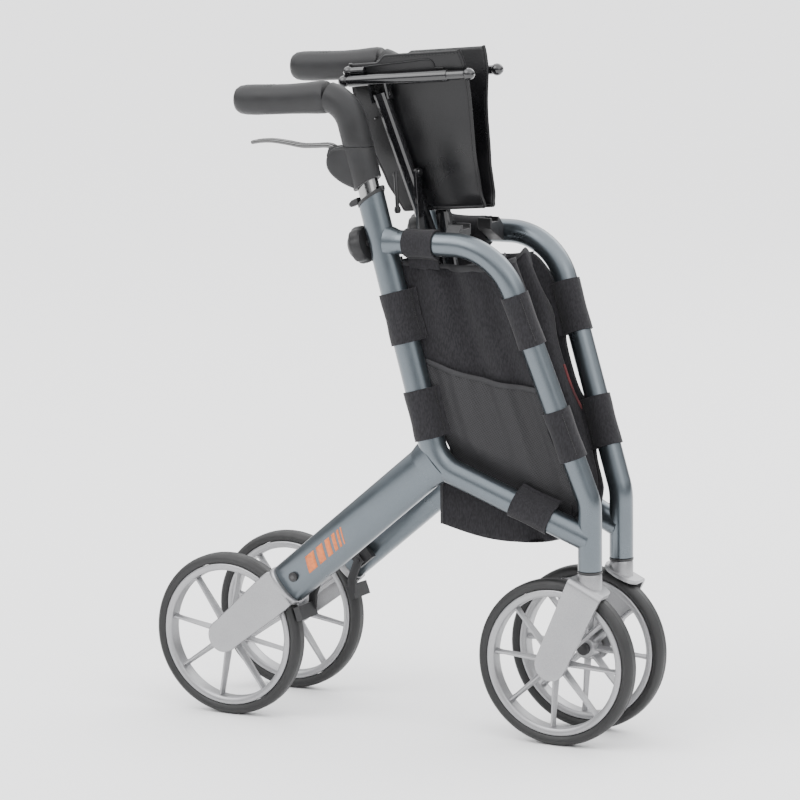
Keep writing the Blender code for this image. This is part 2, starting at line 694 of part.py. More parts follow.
def bracket_block(height, half_height, offsets, inboards):
    axes = (ACROSS, Vector((0.0, 1.0, 0.0)), ALONG)
    middle = brace_at(height, sum(offsets) / 2, sum(inboards) / 2)
    halves = ((offsets[1] - offsets[0]) / 2, (inboards[1] - inboards[0]) / 2, half_height)
    return box(middle, axes, halves)


def make_pivot_bracket(name, side):
    """A strip down the upright's inner face that holds the bar's and the link's pivots."""
    link_height = link_foot_height()
    strip = bracket_block(link_height / 2, link_height / 2 + 10.0, (-6.0, 10.0), (17.0, 21.5))
    piece = add(f"{name}_pivot_bracket", strip, side, "gloss_black")
    plate_face = bar_with_foot_on(side) - BAR_HALF[0] - BAR_GAP
    foot_block = bracket_block(0.0, 10.0, (-5.0, plate_face), (17.5, 45.0))
    combine(piece, "UNION", foot_block, side, "foot_block")
    pin_end = bar_with_foot_on(side) + BAR_HALF[0] + 1.5
    pin = cylinder(brace_at(0.0, plate_face - 3.0), brace_at(0.0, pin_end), PIN_RADIUS)
    combine(piece, "UNION", pin, side, "foot_pin")
    link_face = link_offset(side) - LINK_HALF_THICK - BAR_GAP
    arm = bracket_block(link_height, 6.5, (-4.0, link_face), (17.6, 26.0))
    combine(piece, "UNION", arm, side, "link_arm")
    nose = bracket_block(link_height, 6.0, (18.0, link_face - 0.4), (11.0, 25.0))
    combine(piece, "UNION", nose, side, "link_nose")
    pin_foot = brace_at(link_height, link_face - 4.0, LINK_INBOARD)
    link_pin = cylinder(pin_foot, pin_foot + ACROSS * 10.0, 2.8)
    combine(piece, "UNION", link_pin, side, "link_pin")


def make_guide_link(name, side):
    """The flat link that keeps a frame parallel, with the head of its upper bolt."""
    offset = link_offset(side)
    inboard = BRACE_INBOARD + (BRACE_LENGTH - LINK_ON_BAR) * math.sin(FOLDED_LEAN)
    foot = brace_at(link_foot_height(), offset, LINK_INBOARD)
    head = brace_at(LINK_ON_BAR * math.cos(FOLDED_LEAN), offset, inboard)
    run = (head - foot).normalized()
    across = ACROSS.cross(run)
    outline = []
    turns = 5
    for centre, turn in ((foot, 1), (head, -1)):
        for i in range(turns + 1):
            angle = math.pi * i / turns
            outline.append(centre + (across * math.cos(angle) - run * math.sin(angle)) * 6.5 * turn)
    points = [point - ACROSS * LINK_HALF_THICK for point in outline]
    plate = slab(points, ACROSS * 2 * LINK_HALF_THICK)
    piece = add(f"{name}_guide_link", plate, side, "gloss_black", foot)
    bore = cylinder(foot - ACROSS * 9.0, foot + ACROSS * 9.0, 3.3)
    combine(piece, "DIFFERENCE", bore, side, "foot_bore")
    away = ACROSS if side == RIGHT else -ACROSS
    bolt = cylinder(head + away * 1.0, head + away * 5.2, 4.6)
    combine(piece, "UNION", bolt, side, "bolt_head")


def make_rail_cradle(name, side):
    """The saddle beside the upper tube that catches the seat rail when unfolded."""
    outline = [(14.9, 583.0), (19.5, 583.0), (49.5, 600.0), (49.5, 612.0), (46.4, 612.0)]
    outline += [(46.4, 607.2), (29.6, 607.2), (29.6, 612.0), (26.5, 612.0), (14.9, 601.0)]
    points = [Vector((291.0, v, z)) for v, z in outline]
    add(f"{name}_rail_cradle", slab(points, Vector((18.0, 0.0, 0.0))), side, "black_plastic")


# ---------------------------------------------------------------- seat


def make_seat_rail(name, side):
    """The glossy rail with its ball ends, and the lugs and pin that hang it on a bar."""
    half = [(3.5, -7.0), (6.3, -3.8), (7.3, 0.0), (6.3, 3.4), (5.6, 5.0)]
    profile = half + [(RAIL_RADIUS, 6.0), (RAIL_RADIUS, 138.0), (5.8, 139.0)]
    profile += [(radius, RAIL_LENGTH - along) for radius, along in reversed(half)]
    pivot = brace_at(BRACE_HEIGHT, bar_with_head_on(side))
    rings = turned_rings(RAIL_REAR, RAIL_ALONG, profile, 12)
    piece = add(f"{name}_seat_rail", skin(rings), side, "gloss_black", pivot)
    reach = BAR_HALF[0] + BAR_GAP
    for label, inner, outer in (("rear_lug", -reach, -reach - 2.6), ("front_lug", reach, reach + 2.6)):
        offsets = sorted(bar_with_head_on(side) + edge for edge in (inner, outer))
        lug = bracket_block(BRACE_HEIGHT + 5.0, 11.0, offsets, (BRACE_INBOARD - 5.5, BRACE_INBOARD + 5.5))
        combine(piece, "UNION", lug, side, label)
    pin = cylinder(pivot - ACROSS * (reach + 3.6), pivot + ACROSS * (reach + 3.6), PIN_RADIUS)
    combine(piece, "UNION", pin, side, "pin")


def seat_point(along, down, lift):
    """A point of the hanging board: along its rail, down from it, and off its mid plane."""
    side_in, side_up = math.cos(SEAT_DROOP), math.sin(SEAT_DROOP)
    offset = SEAT_OFFSET + lift
    level = Vector((0.0, side_in * offset + side_up * down, side_up * offset - side_in * down))
    return RAIL_REAR + RAIL_ALONG * along + level


def make_seat_panel(name, side):
    """The stiff board inside one half of the seat, hanging from its rail."""
    outline = [(4.0, -19.0), (150.0, -19.0), (158.0, -10.0), (160.0, 40.0), (162.0, 90.0)]
    outline += [(167.0, 125.0), (50.0, 125.0), (14.0, 10.0), (4.0, 2.0)]
    low = [seat_point(along, down, -SEAT_HALF_THICK) for along, down in outline]
    high = [seat_point(along, down, SEAT_HALF_THICK) for along, down in outline]
    add(f"{name}_seat_panel", skin([low, high]), side, "seat_vinyl", RAIL_REAR)


# ---------------------------------------------------------------- bag


def bag_route():
    """The bag's band in side view: down the front, along the bottom, up the back."""
    corners = [
        (355.5, 566.0), (396.0, 450.0), (430.0, 350.0), (444.0, 304.0), (440.0, 268.0), (420.0, 248.0),
        (378.0, 243.0), (320.0, 250.0), (289.0, 264.0), (289.0, 304.0), (338.0, 374.0), (312.0, 470.0),
        (290.5, 552.0),
    ]
    outer = (21.5, 37.0, 45.0, 48.0, 46.0, 44.5, 32.0, 24.0, 21.0, 21.0, 24.0, 23.0, 21.5)
    return [Vector((x, v, z)) for (x, z), v in zip(corners, outer)]


def make_bag_gusset(name, side):
    """Half of the bag's front, bottom and back, open at the top and at the middle."""
    route = bag_route()
    rings = []
    for i, point in enumerate(route):
        ahead = route[min(i + 1, len(route) - 1)] - route[max(i - 1, 0)]
        ahead.y = 0.0
        ahead.normalize()
        beside = Vector((-ahead.z, 0.0, ahead.x)) * BAG_HALF_THICK
        middle = Vector((point.x, HALF_TRACK - CENTRE_GAP, point.z))
        rings.append([point + beside, middle + beside, middle - beside, point - beside])
    add(f"{name}_bag_gusset", skin(rings), side, "bag_cloth", middle)


def bag_side_point(x, z, front, lift):
    """A point of the side panel, which leans in with the front tube from the upright on."""
    back = upright_at(z).x
    share = (x - back) / (front + 15.0 - back)
    lean = max(0.0, 3.4 + 0.095 * (548.0 - z))
    return Vector((x, BAG_SIDE_INBOARD + lift + share * lean, z))


def make_bag_side(name, side):
    """The bag's side panel, closing the frame's window below the upper tube."""
    rows = ((563.0, 247.0, 349.0), (530.0, 254.0, 370.0), (470.0, 270.0, 391.0), (400.0, 289.0, 415.0))
    rows += ((358.0, 302.0, 429.0), (322.0, 356.0, 440.0), (290.0, 430.0, 449.0))
    columns = 5
    mesh = bmesh.new()
    layers = []
    for lift in (-BAG_HALF_THICK, BAG_HALF_THICK):
        layer = []
        for z, back, front in rows:
            xs = [back + (front - back) * i / (columns - 1) for i in range(columns)]
            layer.append([mesh.verts.new(bag_side_point(x, z, front, lift)) for x in xs])
        layers.append(layer)
    last_row, last_column = len(rows) - 1, columns - 1
    for layer in layers:
        for r in range(last_row):
            for c in range(last_column):
                mesh.faces.new((layer[r][c], layer[r][c + 1], layer[r + 1][c + 1], layer[r + 1][c]))
    rim = [(0, c) for c in range(columns)] + [(r, last_column) for r in range(1, last_row + 1)]
    rim += [(last_row, c) for c in range(last_column - 1, -1, -1)]
    rim += [(r, 0) for r in range(last_row - 1, 0, -1)]
    low, high = layers
    for (r1, c1), (r2, c2) in zip(rim, rim[1:] + rim[:1]):
        mesh.faces.new((low[r1][c1], low[r2][c2], high[r2][c2], high[r1][c1]))
    add(f"{name}_bag_side", mesh, side, "bag_cloth")


# ---------------------------------------------------------------- the whole rollator


def make_side(name, side):
    make_upright(name, side)
    make_front_tube(name, side)
    make_rear_leg(name, side)
    make_leg_screw(name, side)
    make_rear_fork(name, side)
    make_collar(name, side)
    make_head_ring(name, side)
    make_height_knob(name, side)
    make_wheel(f"{name}_rear", side, REAR_AXLE, 0.0)
    make_axle(f"{name}_rear_axle", side, REAR_AXLE, 0.0)
    make_wheel(f"{name}_front", side, FRONT_AXLE, STEM[1])
    make_axle(f"{name}_front_axle", side, FRONT_AXLE, STEM[1])
    make_front_fork(name, side)
    make_handle_tube(name, side)
    make_handle_elbow(name, side)
    make_grip(name, side)
    make_brake_housing(name, side)
    make_brake_lever(name, side)
    make_brake_block(name, side)
    make_brake_shoe(name, side)
    make_pivot_bracket(name, side)
    make_guide_link(name, side)
    make_rail_cradle(name, side)
    make_seat_rail(name, side)
    make_seat_panel(name, side)
    make_bag_gusset(name, side)
    make_bag_side(name, side)


clear_scene()
make_finishes()
for side_name, side_sign in SIDES:
    make_side(side_name, side_sign)
add_centre_bolt(make_cross_bar("cross_bar_front", RIGHT))
make_cross_bar("cross_bar_rear", LEFT)
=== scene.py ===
"""The looks of a folding shopping rollator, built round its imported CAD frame.

Side frames are drawn once, in millimetres: x forward from under the rear axle,
inboard from the frame's own plane, z up. The place function turns them into the
frame's metres for either side.
"""

import math

import bmesh
import bpy
from mathutils import Matrix, Vector, noise


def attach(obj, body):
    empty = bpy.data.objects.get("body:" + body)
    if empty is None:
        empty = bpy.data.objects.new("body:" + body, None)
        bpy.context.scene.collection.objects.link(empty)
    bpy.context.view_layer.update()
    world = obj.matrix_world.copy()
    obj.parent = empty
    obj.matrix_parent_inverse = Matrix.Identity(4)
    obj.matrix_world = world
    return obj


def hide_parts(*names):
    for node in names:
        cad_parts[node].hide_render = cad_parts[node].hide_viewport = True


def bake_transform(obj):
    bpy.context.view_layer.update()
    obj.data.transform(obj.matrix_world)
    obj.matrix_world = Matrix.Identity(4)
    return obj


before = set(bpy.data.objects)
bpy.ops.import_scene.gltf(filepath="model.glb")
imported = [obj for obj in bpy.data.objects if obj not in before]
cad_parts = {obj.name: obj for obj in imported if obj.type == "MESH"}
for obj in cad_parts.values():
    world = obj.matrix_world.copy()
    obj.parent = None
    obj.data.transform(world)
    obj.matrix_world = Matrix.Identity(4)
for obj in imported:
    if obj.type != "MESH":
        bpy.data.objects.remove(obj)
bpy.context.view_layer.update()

MM = 0.001
RIGHT, LEFT = -1, 1
SIDES = (("right", RIGHT), ("left", LEFT))
X = Vector((1.0, 0.0, 0.0))
Y = Vector((0.0, 1.0, 0.0))
Z = Vector((0.0, 0.0, 1.0))

# The frame's driving sizes, in millimetres
HALF_TRACK = 75.1
MID_X = 213.5
REAR_AXLE = Vector((0.0, 0.0, 100.0))
STEM = Vector((470.4, 31.5, 0.0))
FRONT_AXLE = Vector((427.0, 31.5, 100.0))
LEAN = math.radians(15.1)
ALONG = Vector((-math.sin(LEAN), 0.0, math.cos(LEAN)))
ACROSS = Vector((math.cos(LEAN), 0.0, math.sin(LEAN)))
UPRIGHT_POINT = Vector((209.0, 0.0, 620.0))
UPRIGHT_RADIUS = 16.5
LOWER_RADIUS = 15.2
LOWER_CORNER = Vector((287.0, 0.0, 331.0))
COLLAR_CENTRE = Vector((202.3, 0.0, 644.8))
COLLAR_SLOPE = Vector((math.cos(math.radians(36.7)), 0.0, math.sin(math.radians(36.7))))
FRONT_RADIUS = 14.2
UPPER_TUBE_Z = 592.0
HEAD_BOTTOM = 213.8
LEG_ANGLE = math.radians(39.7)
LEG_ALONG = Vector((math.cos(LEG_ANGLE), 0.0, math.sin(LEG_ANGLE)))
LEG_UP = Vector((-math.sin(LEG_ANGLE), 0.0, math.cos(LEG_ANGLE)))
LEG_HALF_HEIGHT = 25.7
LEG_HALF_WIDTH = 15.0
LEG_SQUARENESS = 2.3
KNOB_LOBES = 8
HANDLE_RADIUS = 13.0
HANDLE_CORNER = Vector((170.4, 0.0, 762.9))
GRIP_END = Vector((22.0, 0.0, 752.5))
SEAM_Z = 703.0
SLEEVE_RADIUS = 18.0
LEFT_HANDLE_RAISED = 30.0
RAIL_TILT = math.radians(4.6)
RAIL_ALONG = Vector((math.cos(RAIL_TILT), 0.0, math.sin(RAIL_TILT)))
RAIL_REAR = Vector((148.2, 38.0, 774.7))
SEAT_DROOP = math.radians(10.6)
SEAT_BOARD_END = 118.0
SEAT_HEM = -28.0
SEAT_LOWER_EDGE = 162.0
BAG_TOP_Z = 566.0
STRAP_HEIGHTS = (507.0, 374.0)
FORK_PLATE_Y = -18.2
FORK_CROWN = 104.3
FORK_TILT = math.radians(25.5)

# The photograph's camera
CAMERA_PLACE = Vector((2.1247, -3.9916, 1.1384))
CAMERA_AZIMUTH = math.radians(27.81)
CAMERA_ELEVATION = math.radians(9.28)
CAMERA_ROLL = math.radians(-0.603)
CAMERA_LENS = 171.7
CAMERA_SHIFT = (-0.032, -0.00875)


# ---------------------------------------------------------------- materials


def shader_of(material):
    return material.node_tree.nodes["Principled BSDF"]


def new_material(name, colour, roughness, metallic=0.0, **settings):
    """A material with its shader's settings, which go by the names of its sockets."""
    material = bpy.data.materials.new(name)
    material.use_nodes = True
    sockets = shader_of(material).inputs
    sockets["Base Color"].default_value = (*colour, 1.0)
    sockets["Roughness"].default_value = roughness
    sockets["Metallic"].default_value = metallic
    for socket, value in settings.items():
        sockets[socket.replace("_", " ")].default_value = value
    return material


def node(material, kind, settings=None, **inputs):
    made = material.node_tree.nodes.new(kind)
    for key, value in (settings or {}).items():
        setattr(made, key, value)
    for key, value in inputs.items():
        made.inputs[key.replace("_", " ")].default_value = value
    return made


def link(material, source, target):
    material.node_tree.links.new(source, target)


def coordinates(material, scale=None, turn=(0.0, 0.0, 0.0)):
    """The object's own coordinates, turned and stretched where a scale is given."""
    plain = node(material, "ShaderNodeTexCoord").outputs["Object"]
    if not scale:
        return plain
    mapping = node(material, "ShaderNodeMapping", Scale=scale, Rotation=turn)
    link(material, plain, mapping.inputs["Vector"])
    return mapping.outputs["Vector"]


def texture(material, kind, spread, settings=None, **inputs):
    """The outputs of a texture laid over these coordinates."""
    made = node(material, kind, settings, **inputs)
    link(material, spread, made.inputs["Vector"])
    return made.outputs


def noise_texture(material, scale, detail=3.0, stretch=None):
    """Noise over the object, stretched along its axes where a grain runs one way."""
    spread = coordinates(material, stretch)
    return texture(material, "ShaderNodeTexNoise", spread, Scale=scale, Detail=detail)["Fac"]


def ramp(material, source, target, low, high):
    """One of the shader's sockets, driven by a pattern between two (place, colour) stops."""
    made = node(material, "ShaderNodeValToRGB")
    for element, (position, colour) in zip(made.color_ramp.elements, (low, high)):
        element.position = position
        element.color = (*colour, 1.0)
    link(material, source, made.inputs["Fac"])
    link(material, made.outputs["Color"], shader_of(material).inputs[target])


def grey(value):
    return (value, value, value)


def tint(material, source, low, high):
    ramp(material, source, "Base Color", low, high)


def gloss(material, source, low, high, start=0.3, end=0.7):
    """Roughness from low to high, over the middle of a pattern's range."""
    ramp(material, source, "Roughness", (start, grey(low)), (end, grey(high)))


def add_bump(material, *heights):
    """Bumps stacked on each other, from (height output, strength, distance in metres)."""
    below = None
    for height, strength, distance in heights:
        bump = node(material, "ShaderNodeBump", Strength=strength, Distance=distance)
        link(material, height, bump.inputs["Height"])
        if below:
            link(material, below, bump.inputs["Normal"])
        below = bump.outputs["Normal"]
    link(material, below, shader_of(material).inputs["Normal"])


def frame_paint():
    """Slate metallic lacquer: fine flake under a clear coat, faintly uneven in gloss."""
    coat = {"Coat_Weight": 0.3, "Coat_Roughness": 0.16}
    material = new_material("slate_lacquer", (0.2, 0.245, 0.28), 0.3, 0.92, **coat)
    flake = noise_texture(material, 2600.0, 2.0)
    tint(material, flake, (0.3, (0.09, 0.107, 0.12)), (0.7, (0.135, 0.155, 0.171)))
    gloss(material, noise_texture(material, 24.0, 4.0), 0.27, 0.38, end=0.75)
    add_bump(material, (flake, 0.05, 0.0002))
    return material


def cast_alloy():
    """Silver paint over a casting, with a fine orange-peel skin."""
    material = new_material("satin_silver", (0.46, 0.465, 0.48), 0.36, 0.75)
    grain = noise_texture(material, 1500.0, 3.0)
    tint(material, grain, (0.3, (0.27, 0.27, 0.277)), (0.7, (0.37, 0.37, 0.378)))
    gloss(material, noise_texture(material, 30.0, 4.0), 0.31, 0.42)
    add_bump(material, (noise_texture(material, 700.0, 2.0), 0.06, 0.0003))
    return material


def polished_metal(name, tone):
    """Polished lever and chromed tube, with hairlines along the length."""
    material = new_material(name, grey(tone), 0.1, 1.0)
    hairs = noise_texture(material, 900.0, 2.0, stretch=(0.04, 1.0, 1.0))
    gloss(material, hairs, 0.07, 0.2, start=0.35, end=0.75)
    add_bump(material, (hairs, 0.03, 0.0001))
    return material


def tyre_rubber():
    material = new_material("tyre_rubber", (0.02, 0.02, 0.021), 0.55)
    dust = noise_texture(material, 60.0, 6.0)
    tint(material, dust, (0.35, (0.0065, 0.0065, 0.0068)), (0.75, (0.013, 0.0128, 0.013)))
    gloss(material, dust, 0.46, 0.64)
    add_bump(material, (noise_texture(material, 1300.0, 3.0), 0.18, 0.0003))
    return material


def soft_grip():
    """Soft-touch moulding with a fine spark-eroded grain."""
    material = new_material(
        "soft_grip",
        (0.036, 0.036, 0.038),
        0.5,
        Specular_IOR_Level=0.32,
        Sheen_Weight=0.04,
    )
    wear = noise_texture(material, 35.0, 4.0)
    tint(material, wear, (0.35, (0.011, 0.011, 0.0116)), (0.7, (0.017, 0.017, 0.018)))
    gloss(material, wear, 0.42, 0.56)
    cells = texture(material, "ShaderNodeTexVoronoi", coordinates(material), Scale=1100.0)
    add_bump(material, (cells["Distance"], 0.16, 0.0003))
    return material


def moulded_black():
    material = new_material("moulded_black", (0.012, 0.012, 0.013), 0.45)
    gloss(material, noise_texture(material, 80.0, 4.0), 0.36, 0.52)
    add_bump(material, (noise_texture(material, 1600.0, 2.0), 0.12, 0.0002))
    return material


def gloss_black():
    """Baked gloss enamel on the folding cross and the seat rails."""
    material = new_material("gloss_enamel", (0.006, 0.006, 0.007), 0.14, Coat_Weight=0.6, Coat_Roughness=0.06)
    peel = noise_texture(material, 260.0, 2.0)
    gloss(material, peel, 0.1, 0.2)
    add_bump(material, (peel, 0.04, 0.0004))
    return material


def seat_vinyl():
    """Black coated cloth: leather grain, soft creases and a low sheen."""
    material = new_material(
        "seat_vinyl",
        (0.012, 0.012, 0.013),
        0.34,
        Specular_IOR_Level=0.3,
        Coat_Weight=0.1,
        Coat_Roughness=0.3,
    )
    cloud = noise_texture(material, 22.0, 4.0)
    tint(material, cloud, (0.3, (0.003, 0.003, 0.0036)), (0.7, (0.0056, 0.0055, 0.0064)))
    gloss(material, cloud, 0.24, 0.38)
    pebbles = texture(material, "ShaderNodeTexVoronoi", coordinates(material), Scale=620.0)
    creases = noise_texture(material, 26.0, 2.0)
    add_bump(material, (creases, 0.06, 0.003), (pebbles["Distance"], 0.22, 0.0004))
    return material


def bands(material, direction, **inputs):
    """The height of parallel bands, such as yarns or ribs."""
    settings = {"wave_type": "BANDS", "bands_direction": direction}
    return texture(material, "ShaderNodeTexWave", coordinates(material), settings, **inputs)["Fac"]


def bag_cloth(name, dark, light):
    """Heather polyester: a crossed weave, two yarn tones and a soft nap."""
    material = new_material(
        name,
        light,
        0.85,
        Specular_IOR_Level=0.2,
        Sheen_Weight=0.08,
        Sheen_Roughness=0.5,
    )
    heights = []
    for direction in ("X", "Z"):
        yarn = bands(material, direction, Scale=420.0, Distortion=1.2, Detail=2.0)
        heights.append((yarn, 0.2, 0.0003))
    slubs = noise_texture(material, 700.0, 4.0, stretch=(1.0, 1.0, 0.3))
    tint(material, slubs, (0.36, dark), (0.62, light))
    heights.append((noise_texture(material, 34.0, 3.0), 0.25, 0.004))
    add_bump(material, *heights)
    return material


def net_mesh():
    """The pocket's open net: a grid of openings whose centres are tinted darker than the bag cloth, as
    painted shade of the cloth seen through them.
    """
    material = new_material("pocket_net", (0.03, 0.029, 0.032), 0.75)
    spread = coordinates(material, (1.0, 0.0, 1.0), turn=(0.0, math.radians(32), 0.0))
    holes_and_shade = texture(material, "ShaderNodeTexVoronoi", spread, Scale=430.0, Randomness=0.1)["Distance"]
    # Painted shade: the openings' centres are darker than the cloth behind the net, and the strands between
    # them lighter.
    tint(material, holes_and_shade, (0.3, (0.004, 0.0039, 0.0044)), (0.42, (0.0175, 0.0168, 0.019)))
    add_bump(material, (holes_and_shade, 0.6, 0.0008))
    return material


def webbing():
    """Ribbed binding tape and elastic."""
    material = new_material("binding_tape", (0.022, 0.021, 0.024), 0.72)
    ribs = bands(material, "DIAGONAL", Scale=420.0, Distortion=0.5)
    tint(material, ribs, (0.2, (0.01, 0.01, 0.011)), (0.8, (0.022, 0.0215, 0.024)))
    add_bump(material, (ribs, 0.4, 0.0003))
    return material


def two_tone(name, colour, roughness, pattern, low, high):
    """A plain surface whose colour wavers between two tones over a (scale, detail) noise."""
    material = new_material(name, colour, roughness)
    tint(material, noise_texture(material, *pattern), low, high)
    return material


PAINT = frame_paint()
ALLOY = cast_alloy()
POLISHED = polished_metal("chromed_tube", 0.3)
LEVER = polished_metal("polished_lever", 0.12)
TYRE = tyre_rubber()
GRIP = soft_grip()
BLACK = moulded_black()
ENAMEL = gloss_black()
VINYL = seat_vinyl()
CLOTH = bag_cloth("bag_heather", (0.0095, 0.0091, 0.0105), (0.019, 0.0182, 0.0208))
NET = net_mesh()
TAPE = webbing()
THREAD = two_tone(
    "stitching",
    (0.03, 0.029, 0.033),
    0.6,
    (2500.0, 2.0),
    (0.3, grey(0.008)),
    (0.7, grey(0.02)),
)
PRINT = two_tone(
    "orange_print",
    (0.55, 0.13, 0.03),
    0.42,
    (220.0, 5.0),
    (0.25, (0.42, 0.1, 0.028)),
    (0.6, (0.62, 0.16, 0.035)),
)
LINING = two_tone(
    "wine_lining",
    (0.09, 0.012, 0.015),
    0.6,
    (60.0, 3.0),
    (0.3, (0.05, 0.008, 0.01)),
    (0.7, (0.13, 0.018, 0.02)),
)


# ---------------------------------------------------------------- shape tools


def place(side, point):
    """A side frame's own point, in metres in the part's frame."""
    return Vector((point[0] - MID_X, side * (HALF_TRACK - point[1]), point[2])) * MM


def skin(rings, closed=False):
    """A mesh through rings of equal count, with flat ends or joined round into a ring."""
    mesh = bmesh.new()
    grid = [[mesh.verts.new(point) for point in ring] for ring in rings]
    count = len(rings[0])
    pairs = list(zip(grid, grid[1:]))
    if closed:
        pairs.append((grid[-1], grid[0]))
    for first, second in pairs:
        for i in range(count):
            j = (i + 1) % count
            mesh.faces.new((first[i], first[j], second[j], second[i]))
    if not closed:
        mesh.faces.new(list(reversed(grid[0])))
        mesh.faces.new(grid[-1])
    return mesh


def sheet_mesh(rows):
    """An open sheet through rows of points of equal count."""
    mesh = bmesh.new()
    grid = [[mesh.verts.new(point) for point in row] for row in rows]
    for first, second in zip(grid, grid[1:]):
        for i in range(len(first) - 1):
            mesh.faces.new((first[i], first[i + 1], second[i + 1], second[i]))
    return mesh


def oval(centre, across, up, half_across, half_up, sides, squareness=2.0):
    ring = []
    for i in range(sides):
        angle = 2 * math.pi * (i + 0.5) / sides
        c, s = math.cos(angle), math.sin(angle)
        a = math.copysign(abs(c) ** (2 / squareness), c) * half_across
        b = math.copysign(abs(s) ** (2 / squareness), s) * half_up
        ring.append(centre + across * a + up * b)
    return ring


def rounded_route(corners, radii, steps=16):
    """The corners joined by straight runs, each inner corner turned by an arc."""
    route = [corners[0].copy()]
    for before, corner, after, radius in zip(corners, corners[1:], corners[2:], radii):
        into = (corner - before).normalized()
        out = (after - corner).normalized()
        turn = into.angle(out)
        reach = radius * math.tan(turn / 2)
        start = corner - into * reach
        bend = (out - into * into.dot(out)).normalized()
        middle = start + bend * radius
        for i in range(steps + 1):
            swept = turn * i / steps
            route.append(middle - bend * radius * math.cos(swept) + into * radius * math.sin(swept))
    route.append(corners[-1].copy())
    return route


def tube_rings(route, half_sizes, sides=40, sideways=Y, squareness=2.0):
    """Rings square to a route. half_sizes is one (sideways, other) pair or one for each point."""
    if not isinstance(half_sizes, list):
        half_sizes = [half_sizes] * len(route)
    rings = []
    for i, (point, (half_side, half_up)) in enumerate(zip(route, half_sizes)):
        ahead = route[min(i + 1, len(route) - 1)] - route[max(i - 1, 0)]
        ahead.normalize()
        across = (sideways - ahead * ahead.dot(sideways)).normalized()
        up = ahead.cross(across)
        rings.append(oval(point, across, up, half_side, half_up, sides, squareness))
    return rings


def slide_to_plane(ring, direction, plane_point, plane_normal):
    moved = []
    for point in ring:
        distance = (plane_point - point).dot(plane_normal) / direction.dot(plane_normal)
        moved.append(point + direction * distance)
    return moved


def turned_rings(origin, axis, profile, sides=48):
    """Rings of a turned shape, from (radius, distance along the axis) pairs."""
    axis = axis.normalized()
    helper = Y if abs(axis.y) < 0.9 else Z
    first = helper.cross(axis).normalized()
    second = axis.cross(first)
    rings = []
    for radius, along in profile:
        centre = origin + axis * along
        ring = []
        for i in range(sides):
            angle = 2 * math.pi * i / sides
            ring.append(centre + (first * math.cos(angle) + second * math.sin(angle)) * radius)
        rings.append(ring)
    return rings


def tube(route, half_sizes, sides=40, **shape):
    return skin(tube_rings(route, half_sizes, sides, **shape))


def turned(origin, axis, profile, sides=48, closed=False):
    return skin(turned_rings(origin, axis, profile, sides), closed)


def middle_of(ring):
    return sum(ring, Vector()) / len(ring)


def scaled(ring, middle, share):
    return [middle + (point - middle) * share for point in ring]


def in_plane(pairs, y=0.0):
    """Points of a side view, from (x, z) pairs."""
    return [Vector((x, y, z)) for x, z in pairs]


def mirrored(half):
    """A closed (radius, along) profile from the half of it on one side."""
    return half + [(radius, -along) for radius, along in reversed(half)]


def swell(value, centre, width):
    """A soft swelling of height 1 about a centre."""
    return math.exp(-(((value - centre) / width) ** 2))


def arch(share):
    return math.sin(math.pi * share)


def slab(outline, thickness):
    return skin([outline, [point + thickness for point in outline]])


def smooth_between(points, count):
    """A smooth curve through points, as count points evenly spread over its spans."""
    spans = len(points) - 1
    found = []
    for k in range(count):
        t = k / (count - 1) * spans
        i = min(int(t), spans - 1)
        u = t - i
        a = points[max(i - 1, 0)]
        b, c = points[i], points[i + 1]
        d = points[min(i + 2, spans)]
        curve = b * 2 + (c - a) * u + (a * 2 - b * 5 + c * 4 - d) * u * u
        curve += (b * 3 - a - c * 3 + d) * u * u * u
        found.append(curve * 0.5)
    return found


def merge(meshes):
    """Several meshes as one, still as separate bodies."""
    whole = bmesh.new()
    for mesh in meshes:
        data = bpy.data.meshes.new("merging")
        mesh.to_mesh(data)
        whole.from_mesh(data)
        mesh.free()
        bpy.data.meshes.remove(data)
    return whole


def make(name, mesh, side, material, bevel=0.0, smooth=35, thick=0.0, levels=0):
    """An object from a side frame's own millimetres, rounded, thickened or subdivided."""
    for vertex in mesh.verts:
        vertex.co = place(side, vertex.co)
    bmesh.ops.recalc_face_normals(mesh, faces=mesh.faces)
    data = bpy.data.meshes.new(name)
    mesh.to_mesh(data)
    mesh.free()
    data.shade_smooth()
    piece = bpy.data.objects.new(name, data)
    bpy.context.scene.collection.objects.link(piece)
    data.materials.append(material)
    if thick:
        shell = piece.modifiers.new("thickness", "SOLIDIFY")
        shell.thickness = thick * MM
        shell.offset = 0.0
    if bevel:
        edges = piece.modifiers.new("edges", "BEVEL")
        edges.width = bevel * MM
        edges.segments = 3
        edges.angle_limit = math.radians(30)
    if levels:
        finer = piece.modifiers.new("finer", "SUBSURF")
        finer.levels = levels
        finer.render_levels = levels
    if smooth and not levels:
        data.set_sharp_from_angle(angle=math.radians(smooth))
    return piece


def upright_at(z):
    return UPRIGHT_POINT + ALONG * ((z - UPRIGHT_POINT.z) / ALONG.z)


def stem_at(z):
    return Vector((STEM.x, STEM.y, z))


def leg_point(along, up, inboard=0.0):
    return REAR_AXLE + LEG_ALONG * along + LEG_UP * up + Y * inboard


# ---------------------------------------------------------------- side frame


def upright_route():
    top = UPRIGHT_POINT + ALONG * 60.0
    return rounded_route([top, LOWER_CORNER, stem_at(250.0)], [50.0])


def front_route():
    corners = [upright_at(UPPER_TUBE_Z), Vector((367.8, 0.0, UPPER_TUBE_Z))]
    corners += [stem_at(293.0), stem_at(HEAD_BOTTOM)]
    return rounded_route(corners, [80.0, 60.0])


